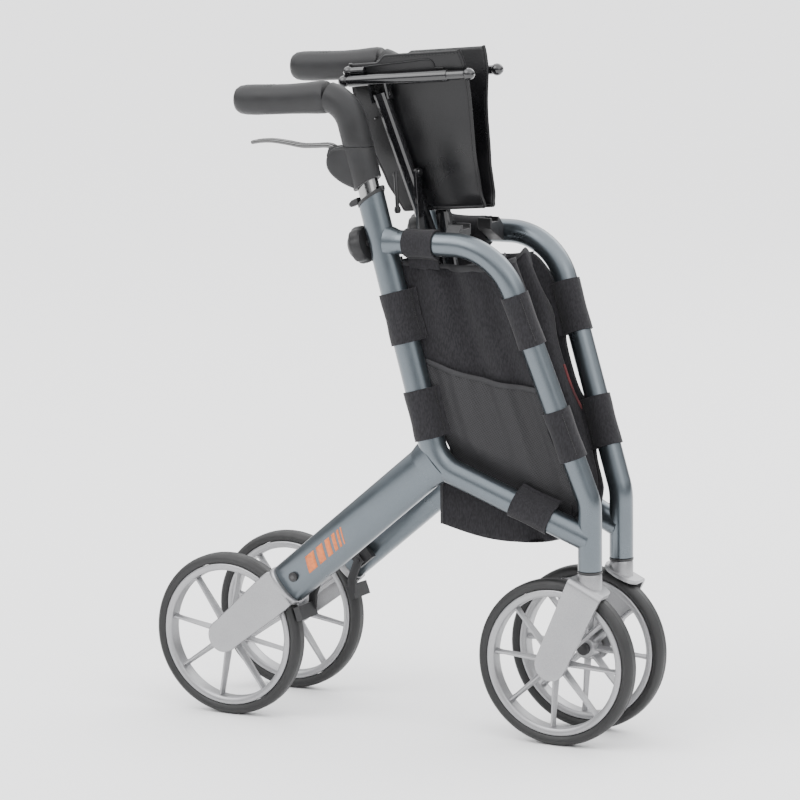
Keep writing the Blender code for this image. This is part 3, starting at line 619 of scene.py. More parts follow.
def make_frame_tubes(name, side):
    normal = COLLAR_SLOPE.cross(Y).normalized()
    route = upright_route()
    last = len(route) - 1
    sizes = []
    for i in range(last + 1):
        share = max(0.0, (i - 1) / (last - 1))
        radius = UPRIGHT_RADIUS + (LOWER_RADIUS - UPRIGHT_RADIUS) * share
        sizes.append((radius, radius))
    rings = tube_rings(route, sizes)
    rings[0] = slide_to_plane(rings[0], ALONG, COLLAR_CENTRE - ALONG * 4.0, normal)
    upright = make(f"{name}_upright_tube", skin(rings), side, PAINT)
    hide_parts(f"{name}_upright")
    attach(upright, f"{name}_frame")
    front = make(
        f"{name}_front_bent_tube",
        tube(front_route(), (FRONT_RADIUS, FRONT_RADIUS)),
        side,
        PAINT,
    )
    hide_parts(f"{name}_front_tube")
    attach(front, f"{name}_frame")
    make_weld_beads(name, side)


def make_weld_beads(name, side):
    """Smoothed weld fillets where the upper tube and the leg meet the upright."""
    start = upright_at(UPPER_TUBE_Z)
    route = [start + X * x for x in (9.0, 16.0, 19.0, 22.0, 25.0)]
    radii = (19.0, 17.2, 15.7, 14.8, 14.1)
    upper = tube(route, [(r, r) for r in radii])
    base = leg_point(0.0, 0.0)
    route = [base + LEG_ALONG * s for s in (372.0, 362.0, 356.0, 351.0)]
    grow = (3.4, 2.2, 0.9, -0.1)
    sizes = [(LEG_HALF_WIDTH + g * 0.4, LEG_HALF_HEIGHT + g) for g in grow]
    lower = tube(route, sizes, 56, squareness=LEG_SQUARENESS)
    beads = make(f"{name}_weld_fillets", merge([upper, lower]), side, PAINT)
    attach(beads, f"{name}_frame")


def make_leg(name, side):
    ends = [leg_point(108.0, 0.0), leg_point(109.0, 0.0), leg_point(366.0, 0.0)]
    sizes = [(LEG_HALF_WIDTH - 0.5, LEG_HALF_HEIGHT - 0.5)]
    sizes += [(LEG_HALF_WIDTH, LEG_HALF_HEIGHT)] * 2
    leg = make(
        f"{name}_oval_leg",
        tube(ends, sizes, 72, squareness=LEG_SQUARENESS),
        side,
        PAINT,
    )
    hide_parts(f"{name}_rear_leg")
    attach(leg, f"{name}_frame")
    make_leg_print(name, side)
    make_leg_screw(name, side)


def leg_surface(along, up, lift):
    """A point on the leg's outer face, a little proud of it."""
    share = min(1.0, abs(up) / LEG_HALF_HEIGHT)
    half = LEG_HALF_WIDTH * (1 - share**LEG_SQUARENESS) ** (1 / LEG_SQUARENESS)
    return leg_point(along, up, -half - lift)


def make_leg_print(name, side):
    """A generic printed motif: slanted bars of falling width."""
    bars = []
    start = 152.0
    for width, gap in ((15.0, 4.5), (11.0, 4.5), (8.0, 4.0), (5.5, 3.5), (3.5, 3.0), (2.0, 0.0)):
        rows = []
        for i in range(9):
            up = -9.5 + 19.0 * i / 8
            shear = up * 0.42
            rows.append([leg_surface(start + shear + width * k / 3, up, 0.12) for k in range(4)])
        bars.append(sheet_mesh(rows))
        start += width + gap
    printed = make(f"{name}_leg_stripes", merge(bars), side, PRINT, thick=0.1)
    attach(printed, f"{name}_frame")


def make_leg_screw(name, side):
    centre = leg_point(127.0, 0.0)
    profile = [(0.01, -17.6), (4.4, -17.6), (5.6, -17.2), (6.0, -16.4), (6.0, -14.0), (0.01, -14.0)]
    head = turned(centre, Y, profile, 40)
    screw = make(f"{name}_leg_bolt", head, side, BLACK)
    # Painted shade: a darker glossy hex set flush in the head's face, where the hex socket's recess would lie
    # in shade.
    socket = turned(centre, Y, [(2.6, -17.75), (2.6, -16.0)], 6)
    socket_shade_piece = make(f"{name}_leg_bolt_socket_shade", socket, side, ENAMEL)
    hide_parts(f"{name}_leg_screw")
    for piece in (screw, socket_shade_piece):
        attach(piece, f"{name}_frame")


def make_rear_fork(name, side):
    """The silver casting: a bright oval shoulder that runs into a flat outer plate."""
    rings = []
    for s, grow in ((107.7, -0.4), (107.0, 0.5), (104.5, 1.0), (101.0, 0.6), (98.0, -1.5)):
        centre = leg_point(s, 0.0, -2.75)
        sizes = (LEG_HALF_WIDTH + 2.6 + grow * 0.5, LEG_HALF_HEIGHT + grow)
        flat = tube_rings([centre, centre - LEG_ALONG], sizes, 72, squareness=LEG_SQUARENESS)
        rings.append(flat[0])
    shoulder = skin(rings)
    edge = [(104.0, 24.5), (96.0, 25.2), (80.0, 24.8), (55.0, 23.4), (25.0, 21.4)]
    outline = edge.copy()
    for i in range(25):
        angle = math.radians(82) + math.radians(196) * i / 24
        outline.append((20.5 * math.cos(angle), 20.5 * math.sin(angle)))
    outline += [(s, -n) for s, n in reversed(edge)]
    points = [leg_point(s, n, -20.4) for s, n in outline]
    plate = make(f"{name}_fork_plate", slab(points, Y * 5.8), side, ALLOY, bevel=1.4)
    cap = make(f"{name}_fork_shoulder", shoulder, side, ALLOY)
    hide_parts(f"{name}_rear_fork")
    for piece in (plate, cap):
        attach(piece, f"{name}_frame")


def make_collar(name, side):
    """The slanted ring at the upright's top, with its catch behind and a small ear."""
    normal = COLLAR_SLOPE.cross(Y).normalized()
    flat = [COLLAR_CENTRE - ALONG, COLLAR_CENTRE + ALONG]
    levels = [(17.0, -4.2), (17.5, -3.6), (17.5, -0.8), (16.9, 0.0), (13.8, 0.3), (13.3, -0.4)]
    rings = []
    for radius, height in levels + [(13.3, -4.2)]:
        ring = tube_rings(flat, (radius, radius), 56)[0]
        rings.append(slide_to_plane(ring, ALONG, COLLAR_CENTRE + ALONG * height, normal))
    ring = make(f"{name}_collar_ring", skin(rings, closed=True), side, BLACK)
    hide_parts(f"{name}_collar")
    catch = [(-17.0, -3.0), (-27.0, -4.5), (-29.5, -3.0), (-29.5, 0.5), (-25.0, 3.4), (-16.0, 5.0)]
    base = upright_at(642.0)
    rear = slab([base + ACROSS * k + ALONG * h - Y * 4.2 for k, h in catch], Y * 8.4)
    ear = [(15.0, -3.0), (19.6, -2.6), (20.0, 2.4), (18.0, 3.6), (15.0, 3.0)]
    base = upright_at(650.2)
    front = slab([base + ACROSS * k + ALONG * h - Y * 3.0 for k, h in ear], Y * 6.0)
    tabs = make(f"{name}_collar_catch", merge([rear, front]), side, BLACK, bevel=0.9)
    for piece in (ring, tabs):
        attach(piece, f"{name}_frame")


def make_knob(name, side):
    """A lobed clamping knob on a short boss."""
    centre = upright_at(593.6)
    profile = [(5.0, 15.0), (5.0, 18.6), (12.0, 18.9), (19.5, 19.3), (21.6, 21.0), (22.4, 24.0)]
    profile += [(22.4, 30.5), (21.2, 33.4), (17.0, 36.4), (13.4, 39.6), (11.0, 40.8), (4.0, 41.0)]
    rings = turned_rings(centre, -ACROSS, profile, 96)
    for ring, (radius, along) in zip(rings, profile):
        middle = centre - ACROSS * along
        depth = 0.055 if 20.0 < radius else 0.0
        for i, point in enumerate(ring):
            dent = 1.0 - depth * (0.5 - 0.5 * math.cos(KNOB_LOBES * 2 * math.pi * i / len(ring))) ** 3
            ring[i] = middle + (point - middle) * dent
    knob = make(f"{name}_lobed_knob", skin(rings), side, GRIP)
    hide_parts(f"{name}_height_knob")
    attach(knob, f"{name}_height_knob")


def make_head_ring(name, side):
    foot = stem_at(210.0)
    profile = [(13.6, 0.0), (14.6, 0.5), (14.6, 2.7), (13.6, 3.3), (7.0, 3.3), (7.0, 0.0)]
    ring = make(
        f"{name}_head_seal",
        turned(foot, Z, profile, closed=True),
        side,
        BLACK,
    )
    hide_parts(f"{name}_head_ring")
    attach(ring, f"{name}_frame")


# ---------------------------------------------------------------- wheels


def make_tyre(name, side, centre, body):
    """A solid tyre: round tread with two shallow rain grooves and a moulded edge line."""
    half = [(88.2, 9.0), (90.0, 10.2), (92.4, 11.1), (94.0, 11.4), (94.3, 11.2), (94.8, 11.4)]
    half += [(96.6, 10.6), (98.4, 8.8), (99.4, 6.6), (99.85, 4.6), (99.5, 4.3), (99.9, 4.0)]
    profile = mirrored(half + [(99.95, 1.5)])
    mesh = turned(centre, Y, profile, 128, closed=True)
    tyre = make(f"{name}_tread", mesh, side, TYRE)
    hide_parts(f"{name}_tyre")
    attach(tyre, body)


def spoke_mesh(centre, angle):
    """One spoke: deep and broad at the hub, slim at the rim, with a raised spine."""
    out = Vector((math.cos(angle), 0.0, math.sin(angle)))
    beside = Vector((-math.sin(angle), 0.0, math.cos(angle)))
    rings = []
    stations = [(9.0, 9.0, 5.2), (18.0, 8.0, 4.4), (40.0, 6.8, 3.5), (70.0, 5.6, 3.0), (82.0, 6.2, 4.2)]
    for reach, deep, wide in stations:
        middle = centre + out * reach
        section = [(-deep, -1.1), (-deep, 1.1), (-deep * 0.45, wide * 0.62), (0.0, wide)]
        section += [(deep * 0.45, wide * 0.62), (deep, 1.1), (deep, -1.1), (deep * 0.45, -wide * 0.62)]
        section += [(0.0, -wide), (-deep * 0.45, -wide * 0.62)]
        rings.append([middle + Y * d + beside * w for d, w in section])
    return skin(rings)


def make_rim(name, side, centre, body, phase):
    """A cast rim with a stepped channel, eight spokes and a dished hub."""
    half = [(79.0, 0.6), (78.6, 5.0), (79.4, 8.6), (81.5, 10.0), (84.0, 10.6), (86.2, 10.6)]
    profile = mirrored(half + [(87.6, 9.6)])
    ring = turned(centre, Y, profile, 128, closed=True)
    spokes = [spoke_mesh(centre, math.radians(phase + 45 * i)) for i in range(8)]
    hub = [(5.4, -13.4), (9.5, -13.4), (12.6, -12.2), (13.4, -9.0), (14.2, -3.0), (14.2, 3.0)]
    hub += [(13.4, 8.5), (12.4, 11.4), (9.5, 12.3), (5.4, 12.3)]
    core = turned(centre, Y, hub, closed=True)
    rim = make(f"{name}_cast_rim", merge([ring, core] + spokes), side, ALLOY, bevel=0.5)
    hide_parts(f"{name}_rim")
    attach(rim, body)


def make_axle(name, side, centre, body):
    """The axle's cap on the wheel's inboard face."""
    profile = [(0.01, 18.4), (5.4, 18.4), (7.0, 17.8), (7.7, 16.6), (7.7, 12.5), (4.9, 12.5)]
    cap = turned(centre, Y, profile, 40)
    axle = make(f"{name}_cap_and_shaft", cap, side, BLACK)
    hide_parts(f"{name}_axle")
    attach(axle, body)


def make_front_fork(name, side):
    """A single-sided fork: the plate bends over into the crown, which carries the stem."""
    up = Vector((math.sin(FORK_TILT), 0.0, math.cos(FORK_TILT)))
    fore = Vector((math.cos(FORK_TILT), 0.0, -math.sin(FORK_TILT)))
    bend = 5.0
    eye_radius = 19.6
    crown_half = 23.0
    crown_reach = 18.5
    plate_steps = 14

    def row_at(y, half_width, heights):
        middle = FRONT_AXLE + Y * y
        return [middle + fore * (share * half_width) + up * h for share, h in zip(shares, heights)]

    angles = [math.radians(180 - 180 * i / 12) for i in range(13)]
    shares = [math.cos(angle) for angle in angles]
    eye = [-eye_radius * math.sin(angle) for angle in angles]
    rows = []
    for k in range(plate_steps + 1):
        share = k / plate_steps
        heights = [low + (FORK_CROWN - bend - low) * share for low in eye]
        rows.append(row_at(FORK_PLATE_Y, eye_radius + 3.4 * share, heights))
    for i in range(1, 7):
        angle = math.radians(90) * i / 6
        y = FORK_PLATE_Y + bend - bend * math.cos(angle)
        rows.append(row_at(y, crown_half, [FORK_CROWN - bend + bend * math.sin(angle)] * 13))
    for k in range(1, 13):
        y = FORK_PLATE_Y + bend + (crown_reach - FORK_PLATE_Y - bend) * k / 12
        round_in = math.sqrt(max(0.0, 1 - max(0.0, (y - 2.0) / (crown_reach - 2.0)) ** 2))
        width = 22.9 * max(0.12, round_in) if y > 2.0 else crown_half
        rows.append(row_at(y, width, [FORK_CROWN] * 13))
    mesh = sheet_mesh(rows)
    plate = make(f"{name}_fork_leg_and_crown", mesh, side, ALLOY, thick=4.8, bevel=1.3)
    levels = [(14.1, 190.0), (14.1, 207.8), (13.3, 209.6), (6.0, 209.7), (6.0, 214.0)]
    rings = turned_rings(stem_at(0.0), Z, levels)
    rings[0] = slide_to_plane(rings[0], Z, FRONT_AXLE + up * 103.6, up)
    stem = make(f"{name}_fork_stem", skin(rings), side, ALLOY)
    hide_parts(f"{name}_front_fork")
    for piece in (plate, stem):
        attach(piece, f"{name}_caster")


def make_wheels(name, side):
    for end, centre, phase, carrier in (
        ("rear", REAR_AXLE, -10.0, "frame"),
        ("front", FRONT_AXLE, -4.0, "caster"),
    ):
        wheel = f"{name}_{end}_wheel"
        make_tyre(f"{name}_{end}", side, centre, wheel)
        make_rim(f"{name}_{end}", side, centre, wheel, phase)
        make_axle(f"{name}_{end}", side, centre, f"{name}_{carrier}")
    make_front_fork(name, side)


# ---------------------------------------------------------------- handles


def raised(side):
    return ALONG * (LEFT_HANDLE_RAISED if side == LEFT else 0.0)


def raise_all(mesh, side):
    for vertex in mesh.verts:
        vertex.co += raised(side)
    return mesh


def handle_route(steps=14):
    insert = COLLAR_CENTRE - ALONG * 168.0
    inside = GRIP_END + Vector((14.0, 0.0, 1.0))
    return rounded_route([insert, HANDLE_CORNER, inside], [42.0], steps)


def make_handle(name, side):
    body = f"{name}_handle"
    route = handle_route()
    insert = raise_all(tube(route[:3], (HANDLE_RADIUS, HANDLE_RADIUS)), side)
    inner = make(f"{name}_chromed_tube", insert, side, POLISHED)
    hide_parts(f"{name}_handle_tube")
    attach(inner, body)

    low = upright_at(SEAM_Z + 8.0)
    covered = [low] + route[1:13]
    rings = tube_rings(covered, (SLEEVE_RADIUS, SLEEVE_RADIUS), 48)
    for height, shrink in ((0.9, 1.0), (0.35, 0.985)):
        flat = slide_to_plane(rings[-len(covered)], ALONG, Z * (SEAM_Z + height), Z)
        rings.insert(0, scaled(flat, upright_at(SEAM_Z + height), shrink))
    elbow = make(f"{name}_moulded_elbow", raise_all(skin(rings), side), side, GRIP)
    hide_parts(f"{name}_handle_elbow")
    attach(elbow, body)
    make_grip(name, side, route, body)
    make_housing(name, side, body)


def make_grip(name, side, route, body):
    """The grip: fuller at its front, waisted in the middle, with palm and finger swells."""
    start = route[12]
    ahead = (route[13] - route[11]).normalized()
    shape = [(0.0, 18.2, 17.6), (0.012, 18.6, 18.8), (0.05, 18.2, 19.6), (0.12, 17.6, 19.4)]
    shape += [(0.25, 16.9, 18.4), (0.42, 16.6, 17.8), (0.6, 16.8, 17.9), (0.78, 17.2, 18.3)]
    shape += [(0.88, 16.9, 18.0), (0.94, 15.8, 16.9), (0.975, 13.4, 14.4), (0.993, 9.2, 10.0)]
    shape.append((1.0, 4.0, 4.4))
    points, sizes = [], []
    tail = GRIP_END - (start + ahead * 1.0)
    for share, half_side, half_up in shape:
        points.append(start + ahead * 1.0 + tail * share - Z * (1.2 * arch(share)))
        sizes.append((half_side, half_up))
    grip = raise_all(tube(points, sizes, 48), side)
    piece = make(f"{name}_moulded_grip", grip, side, GRIP, smooth=60)
    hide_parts(f"{name}_grip")
    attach(piece, body)
    ribs = []
    for k in range(7):
        share = 0.60 + 0.035 * k
        middle = start + tail * share + Z * (17.2 - 1.2 * arch(share))
        across = [middle + Y * w - Z * (1.6 * (w / 7.0) ** 2) for w in (-7.0, -3.5, 0.0, 3.5, 7.0)]
        ribs.append(tube(across, (0.9, 1.5), 8, sideways=X))
    ridges = make(f"{name}_grip_ridges", raise_all(merge(ribs), side), side, GRIP)
    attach(ridges, body)


def make_housing(name, side, body):
    """The sleeve below the elbow, the rounded pod that holds the lever, and a black slab of painted shade in
    the lever's slot.
    """
    slope = math.radians(32.6)
    normal = Vector((math.cos(slope), 0.0, math.sin(slope))).cross(Y).normalized()
    line = [upright_at(660.0), upright_at(SEAM_Z)]
    rings = tube_rings(line, (SLEEVE_RADIUS, SLEEVE_RADIUS), 48)
    low = slide_to_plane(rings[0], ALONG, Vector((200.0, 0.0, 660.3)), normal)
    top = slide_to_plane(rings[1], ALONG, Z * (SEAM_Z - 0.35), Z)
    stack = [scaled(low, middle_of(low), 0.8), scaled(low, middle_of(low), 0.97)]
    stack += [[p + ALONG for p in low], [p - ALONG * 0.8 for p in top]]
    stack.append(scaled(top, middle_of(top), 0.98))
    pod = [(188.0, 652.8), (176.0, 656.5), (165.0, 662.0), (156.0, 668.5), (150.0, 676.5)]
    pod += [(148.6, 685.0), (151.0, 693.5), (157.5, 699.6), (166.0, SEAM_Z - 0.6)]
    outline = smooth_between(in_plane(pod + [(190.0, SEAM_Z - 0.6)]), 34)
    centre = Vector((176.0, 0.0, 681.0))
    edge = [(14.2, 0.8), (13.6, 0.9), (12.0, 0.965), (9.0, 1.0)]
    layers = []
    for y, share in [(-y, share) for y, share in edge] + edge[::-1]:
        layers.append([point + Y * y for point in scaled(outline, centre, share)])
    housing = raise_all(merge([skin(stack), skin(layers)]), side)
    piece = make(f"{name}_lever_pod", housing, side, GRIP, smooth=40)
    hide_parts(f"{name}_brake_housing")
    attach(piece, body)
    # Painted shade: a black slab set into the pod along the lever's slot, standing in for the shade inside
    # the opening.
    slot = [(147.0, 691.0), (149.5, 683.0), (153.0, 690.0), (158.0, 697.0), (168.0, 702.0)]
    slot += [(160.0, 703.2), (150.0, 700.0)]
    shade = raise_all(slab(in_plane(slot, -6.4), Y * 12.8), side)
    mouth = make(f"{name}_lever_slot_painted_shade", shade, side, BLACK)
    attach(mouth, body)


def make_lever(name, side):
    """The polished lever: a flattened, gently wavy blade with a rounded tip."""
    line = [(164.0, 688.0), (158.0, 698.0), (148.0, 702.4), (130.0, 701.6), (112.0, 701.0), (92.0, 703.6)]
    line += [(72.0, 705.4), (56.0, 704.6), (46.5, 703.0), (43.4, 702.2)]
    route = smooth_between(in_plane(line), 46)
    sizes = []
    for i in range(len(route)):
        share = i / (len(route) - 1)
        half_side = 4.4 + 2.2 * min(1.0, share * 3)
        half_up = 3.5 - 1.0 * share
        if share > 0.93:
            fade = math.sqrt(max(0.05, 1 - ((share - 0.93) / 0.07) ** 2))
            half_side *= fade
            half_up *= max(0.5, fade)
        sizes.append((half_side, half_up))
    blade = tube(route, sizes, 28, squareness=2.8)
    lever = make(f"{name}_lever_blade", raise_all(blade, side), side, LEVER)
    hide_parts(f"{name}_brake_lever")
    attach(lever, f"{name}_brake_lever")


# ---------------------------------------------------------------- seat


def seat_point(along, down, lift):
    """A point of the hanging seat: along its rail, down from it, and off its mid plane.

    Past the stiff board's end the cloth turns to hang straight down.
    """
    straight = min(down, SEAT_BOARD_END)
    loose = max(0.0, down - SEAT_BOARD_END)
    offset = 10.0 + lift
    inboard = math.cos(SEAT_DROOP) * offset + math.sin(SEAT_DROOP) * straight + loose * 0.02
    height = math.sin(SEAT_DROOP) * offset - math.cos(SEAT_DROOP) * straight - loose
    return RAIL_REAR + RAIL_ALONG * along + Vector((0.0, inboard, height))


def ease(value, start, end):
    """0 before the start, 1 past the end, and a smooth step between."""
    share = min(1.0, max(0.0, (value - start) / (end - start)))
    return share * share * (3 - 2 * share)


def seat_edges(down):
    """Where the seat half starts and ends along the rail, at a depth below it."""
    rear = [(SEAT_HEM, 5.0), (-20.0, 4.0), (8.0, 6.0), (40.0, 12.0), (90.0, 26.0), (130.0, 42.0)]
    rear.append((SEAT_LOWER_EDGE, 62.0))
    front = [(SEAT_HEM, 150.0), (-20.0, 153.0), (0.0, 157.5), (60.0, 160.0), (110.0, 163.0)]
    front.append((SEAT_LOWER_EDGE, 171.0))
    found = []
    for edge in (rear, front):
        for (d0, a0), (d1, a1) in zip(edge, edge[1:]):
            if d0 <= down <= d1:
                found.append(a0 + (a1 - a0) * (down - d0) / (d1 - d0))
                break
    return found


def make_seat_half(name, side):
    """Coated cloth over the board, puffed between its hems, with a welted edge."""
    rows = []
    forward = -2.0 if side == RIGHT else 5.0
    depth_rows = 38
    columns = 34
    for r in range(depth_rows + 1):
        rear, front = seat_edges(SEAT_HEM + (SEAT_LOWER_EDGE - SEAT_HEM) * r / depth_rows)
        row = []
        for c in range(columns + 1):
            share = c / columns
            along = rear + (front - rear) * share
            top = -19.0 - 9.0 * ease(along, 42.0, 52.0)
            down = top + (SEAT_LOWER_EDGE - top) * r / depth_rows
            depth_share = min(1.0, (down - SEAT_HEM) / (SEAT_LOWER_EDGE - SEAT_HEM))
            pillow = arch(share) ** 0.5 * arch(max(0.0, depth_share)) ** 0.5
            ripple = noise.noise(Vector((along * 0.022, down * 0.03, side * 7.0))) * 1.1
            spot = seat_point(along, down, -1.2 * pillow + ripple * pillow)
            reach = forward * ease(share, 0.55, 1.0) * ease(down, 30.0, 130.0)
            flare = 5.0 * ease(share, 0.6, 1.0) * ease(down, 20.0, 110.0)
            flare *= 1 - ease(down, 142.0, 161.0) ** 2
            row.append(spot + RAIL_ALONG * reach - Y * flare)
        rows.append(row)
    cover = make(f"{name}_seat_cover", sheet_mesh(rows), side, VINYL, thick=3.4, levels=1)
    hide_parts(f"{name}_seat_panel")
    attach(cover, f"{name}_seat_panel")
    border = [row[-1] for row in rows] + rows[-1][::-1] + [row[0] for row in reversed(rows)]
    welt = make(f"{name}_seat_welt", tube(border, (2.2, 2.2), 10), side, VINYL)
    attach(welt, f"{name}_seat_panel")


def make_seat_rail(name, side):
    """The enamelled rail with its ball ends, and the rod and stitching in the seat's upper hem."""
    ball = [(0.01, -7.6), (2.6, -7.2), (5.0, -5.6), (6.8, -3.0), (7.4, 0.0), (6.8, 3.0), (5.4, 5.0)]
    ball.append((4.9, 6.0))
    bar = [(6.0, 7.0), (7.0, 7.6), (7.1, 9.0), (7.1, 137.0), (6.7, 138.4), (5.7, 138.8)]
    profile = ball + bar + [(radius, 165.6 - along) for radius, along in reversed(ball)]
    mesh = turned(RAIL_REAR, RAIL_ALONG, profile, 40)
    rail = make(f"{name}_enamelled_rail", mesh, side, ENAMEL)
    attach(rail, f"{name}_seat_rail")
    knuckle = RAIL_REAR + RAIL_ALONG * 4.0 + Vector((0.0, 3.0, 11.5))
    knob = [(0.01, -6.4), (3.4, -5.6), (5.6, -3.2), (6.4, 0.0), (5.6, 3.2), (4.6, 4.6), (4.6, 22.0)]
    mesh = turned(knuckle, RAIL_ALONG, knob + [(0.01, 22.4)], 28)
    upper = make(f"{name}_hem_rod_end", mesh, side, ENAMEL)
    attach(upper, f"{name}_seat_panel")
    line = [(9.0, -6.0), (14.0, -13.0), (40.0, -15.5), (80.0, -17.5), (108.0, -19.0), (116.0, -15.0)]
    line += [(119.0, -8.5), (130.0, -7.5)]
    path = smooth_between([seat_point(along, down, -2.6) for along, down in line], 60)
    mesh = tube(path, (1.2, 1.0), 12)
    bead = make(f"{name}_rod_sleeve_edge", mesh, side, VINYL)
    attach(bead, f"{name}_seat_panel")
    seam = []
    for k in range(22):
        along = 58.0 + 4.0 * k
        spot = seat_point(along, -24.0, -3.0)
        seam.append(tube([spot, spot + RAIL_ALONG * 2.8], (0.35, 0.5), 6))
    stitches = make(f"{name}_seat_stitching", merge(seam), side, THREAD)
    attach(stitches, f"{name}_seat_panel")


# ---------------------------------------------------------------- bag


def front_tube_x(z):
    """The front tube's axis at a height, down its sloping run and round its lower bend."""
    return min(STEM.x - 1.0, 384.7 + 0.342 * (543.5 - z))


def front_tube_lean(z):
    return max(0.0, 3.4 + 0.0949 * (548.0 - z))


def lower_tube_z(x):
    return 331.0 - 0.449 * (x - 287.0)


def scallop(z):
    """How far the cloth's front edge pulls in at a height: none at the two straps, most between them."""
    return max(0.0, 1.0 - sum(swell(z, height, 27.0) for height in STRAP_HEIGHTS))


def bag_side_point(share, z, side, lift=0.0):
    """The side cloth at a share of its width from the back, hanging inboard of the lower tube."""
    back = upright_at(z).x + 13.0 if z > 348.0 else 295.4 - 13.0 * ease(348.0 - z, 0.0, 50.0)
    if z > 515.0:
        front = 318.0 + math.sqrt(max(1.0, 60.0**2 - (z - 515.5) ** 2))
    else:
        front = front_tube_x(z) - 16.5
    pulled = 13.0 * scallop(z) * (1.0 - ease(300.0 - z, 0.0, 30.0)) if side == LEFT else 0.0
    front += 9.0 - pulled - 30.0 * ease(300.0 - z, 0.0, 55.0)
    x = back + (front - back) * share
    down = (BAG_TOP_Z - z) / 320.0
    fold = 9.0 * swell(share, 0.44 + 0.08 * down, 0.09) * math.exp(-down * 1.3)
    fold += 5.0 * swell(share, 0.76, 0.08) * (0.4 + down)
    fold -= 4.0 * swell(share, 0.24, 0.12)
    fold += noise.noise(Vector((x * 0.022, z * 0.012, side * 3.0))) * 3.4
    fade = min(1.0, 6 * share, 6 * (1 - share))
    inboard = 8.0 + share * front_tube_lean(z) + 5.0 * fade + fold * fade
    beside_tube = 31.5 * (x - LOWER_CORNER.x) / 183.4 + 20.0
    low = 1.0 - ease(z, lower_tube_z(x) + 12.0, lower_tube_z(x) + 48.0)
    return Vector((x, inboard + max(0.0, beside_tube - inboard) * low - lift, z))


def bag_base_z(share):
    """The hanging flap's lower edge, lowest under the bag's middle."""
    return 256.0 - 10.0 * share - 12.0 * arch(share)


def make_bag_side(name, side):
    """A side of the bag, held by its straps, with soft upright folds between them."""
    columns, levels = 52, 76
    shares = [c / columns for c in range(columns + 1)]
    rows = []
    for r in range(levels + 1):
        row = []
        for share in shares:
            top = BAG_TOP_Z - 4.0 * arch(share)
            row.append(bag_side_point(share, top + (bag_base_z(share) - top) * r / levels, side))
        rows.append(row)
    panel = make(f"{name}_bag_side_cloth", sheet_mesh(rows), side, CLOTH, thick=1.4)
    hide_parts(f"{name}_bag_side")
    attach(panel, f"{name}_frame")
    pocket = pocket_rows(side, shares[1:-1])
    net = make(f"{name}_pocket_net", sheet_mesh(pocket), side, NET)
    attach(net, f"{name}_frame")
    trims = [tube([p - Y * 0.6 for p in pocket[0]], (1.2, 3.2), 10), tube(rows[0], (1.2, 4.2), 10)]
    for column in (0, -1):
        trims.append(tube([row[column] for row in rows], (1.4, 2.0), 10))
    binding = make(f"{name}_bag_binding", merge(trims), side, TAPE)
    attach(binding, f"{name}_frame")


def pocket_rows(side, shares):
    """The net pocket on the side cloth: gathered at its slanted mouth and full below it."""
    depth = 34
    rows = []
    for r in range(depth + 1):
        row = []
        for share in shares:
            high = 453.0 - 30.0 * share - 7.0 * arch(share)
            low = lower_tube_z(300.0 + 140.0 * share) + 8.0
            puff = 1.0 - (r / depth) ** 2
            gather = 1.6 * math.sin(share * 60.0) * puff * (r > 0)
            lift = 2.2 + 7.0 * arch(share) * arch(0.25 + 0.75 * r / depth) + gather * 0.5
            row.append(bag_side_point(share, high + (low - high) * r / depth, side, max(2.0, lift)))
        rows.append(row)
    return rows


def bag_profile():
    """The bag's band in side view: front hem, down the front, the sagging base and up the back."""
    front = [(356.0, BAG_TOP_Z), (372.0, 520.0), (396.0, 450.0), (414.0, 398.0), (430.0, 350.0)]
    base = [(442.0, 306.0), (440.0, 272.0), (428.0, 250.0), (400.0, 240.0), (360.0, 240.0)]
    base += [(320.0, 247.0), (294.0, 257.0), (289.0, 282.0), (300.0, 316.0)]
    back = [(330.0, 360.0), (334.0, 392.0), (318.0, 450.0), (304.0, 505.0), (292.0, 556.0)]
    return smooth_between(in_plane(front + base + back), 110)


def band_outer(point, share):
    """How far inboard of its frame the band's edge lies."""
    base = 21.0 + 24.0 * min(1.0, max(0.0, (point.x - 289.0) / 140.0))
    front = 22.0 + 15.0 * scallop(point.z)
    return front + (base - front) * ease(share, 0.26, 0.36)


def band_row(point, share, columns):
    """One line across the band, with its creases, its sag and its waves."""
    outer = band_outer(point, share)
    at_front = 1.0 - ease(share, 0.2, 0.36)
    at_back = ease(share, 0.7, 0.85)
    at_top = 1.0 - ease(share, 0.0, 0.12)
    row = []
    for c in range(columns + 1):
        across = 2 * c / columns - 1
        out = abs(across)
        inward = 1 - out
        crease = 5.0 * swell(across, 0.0, 0.2) - 19.0 * swell(out, 0.42, 0.14)
        shift = (-8.0 * inward + crease) * at_front + 8.0 * inward * at_back
        rise = 9.0 * swell(out, 0.72, 0.16) - 12.0 * swell(out, 0.4, 0.12)
        rise -= 10.0 * ease(out, 0.85, 1.0)
        wave = noise.noise(Vector((across * 3.0, share * 9.0, 4.0))) * 2.4 * min(1.0, inward * 3)
        sag = 4.0 * arch(inward * 0.5) * ease(share, 0.3, 0.45) * (1 - ease(share, 0.55, 0.7))
        y = outer + 2 * (HALF_TRACK - outer) * c / columns
        row.append(Vector((point.x + shift + wave, y, point.z + rise * at_top + wave * 0.4 - sag)))
    return row


def make_bag_band():
    """Front, base and back of the bag as one folded band from frame to frame."""
    profile = bag_profile()
    rows = [band_row(point, i / (len(profile) - 1), 60) for i, point in enumerate(profile)]
    band = make("bag_band", sheet_mesh(rows), RIGHT, CLOTH, thick=1.5)
    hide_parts("right_bag_gusset", "left_bag_gusset")
    hems = [tube(rows[k], (1.4, 5.0), 10, sideways=X) for k in (0, -1)]
    trim = make("bag_hems", merge(hems), RIGHT, TAPE)
    near_edge = [row[-3] for row in rows]
    edge = [point + X * 1.2 for point in near_edge if 372.0 < point.z < 446.0 and point.x > 370.0]
    piping = make("bag_wine_piping", tube(edge, (1.6, 1.6), 10), RIGHT, LINING)
    for piece in (band, trim, piping):
        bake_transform(piece)


# ---------------------------------------------------------------- straps


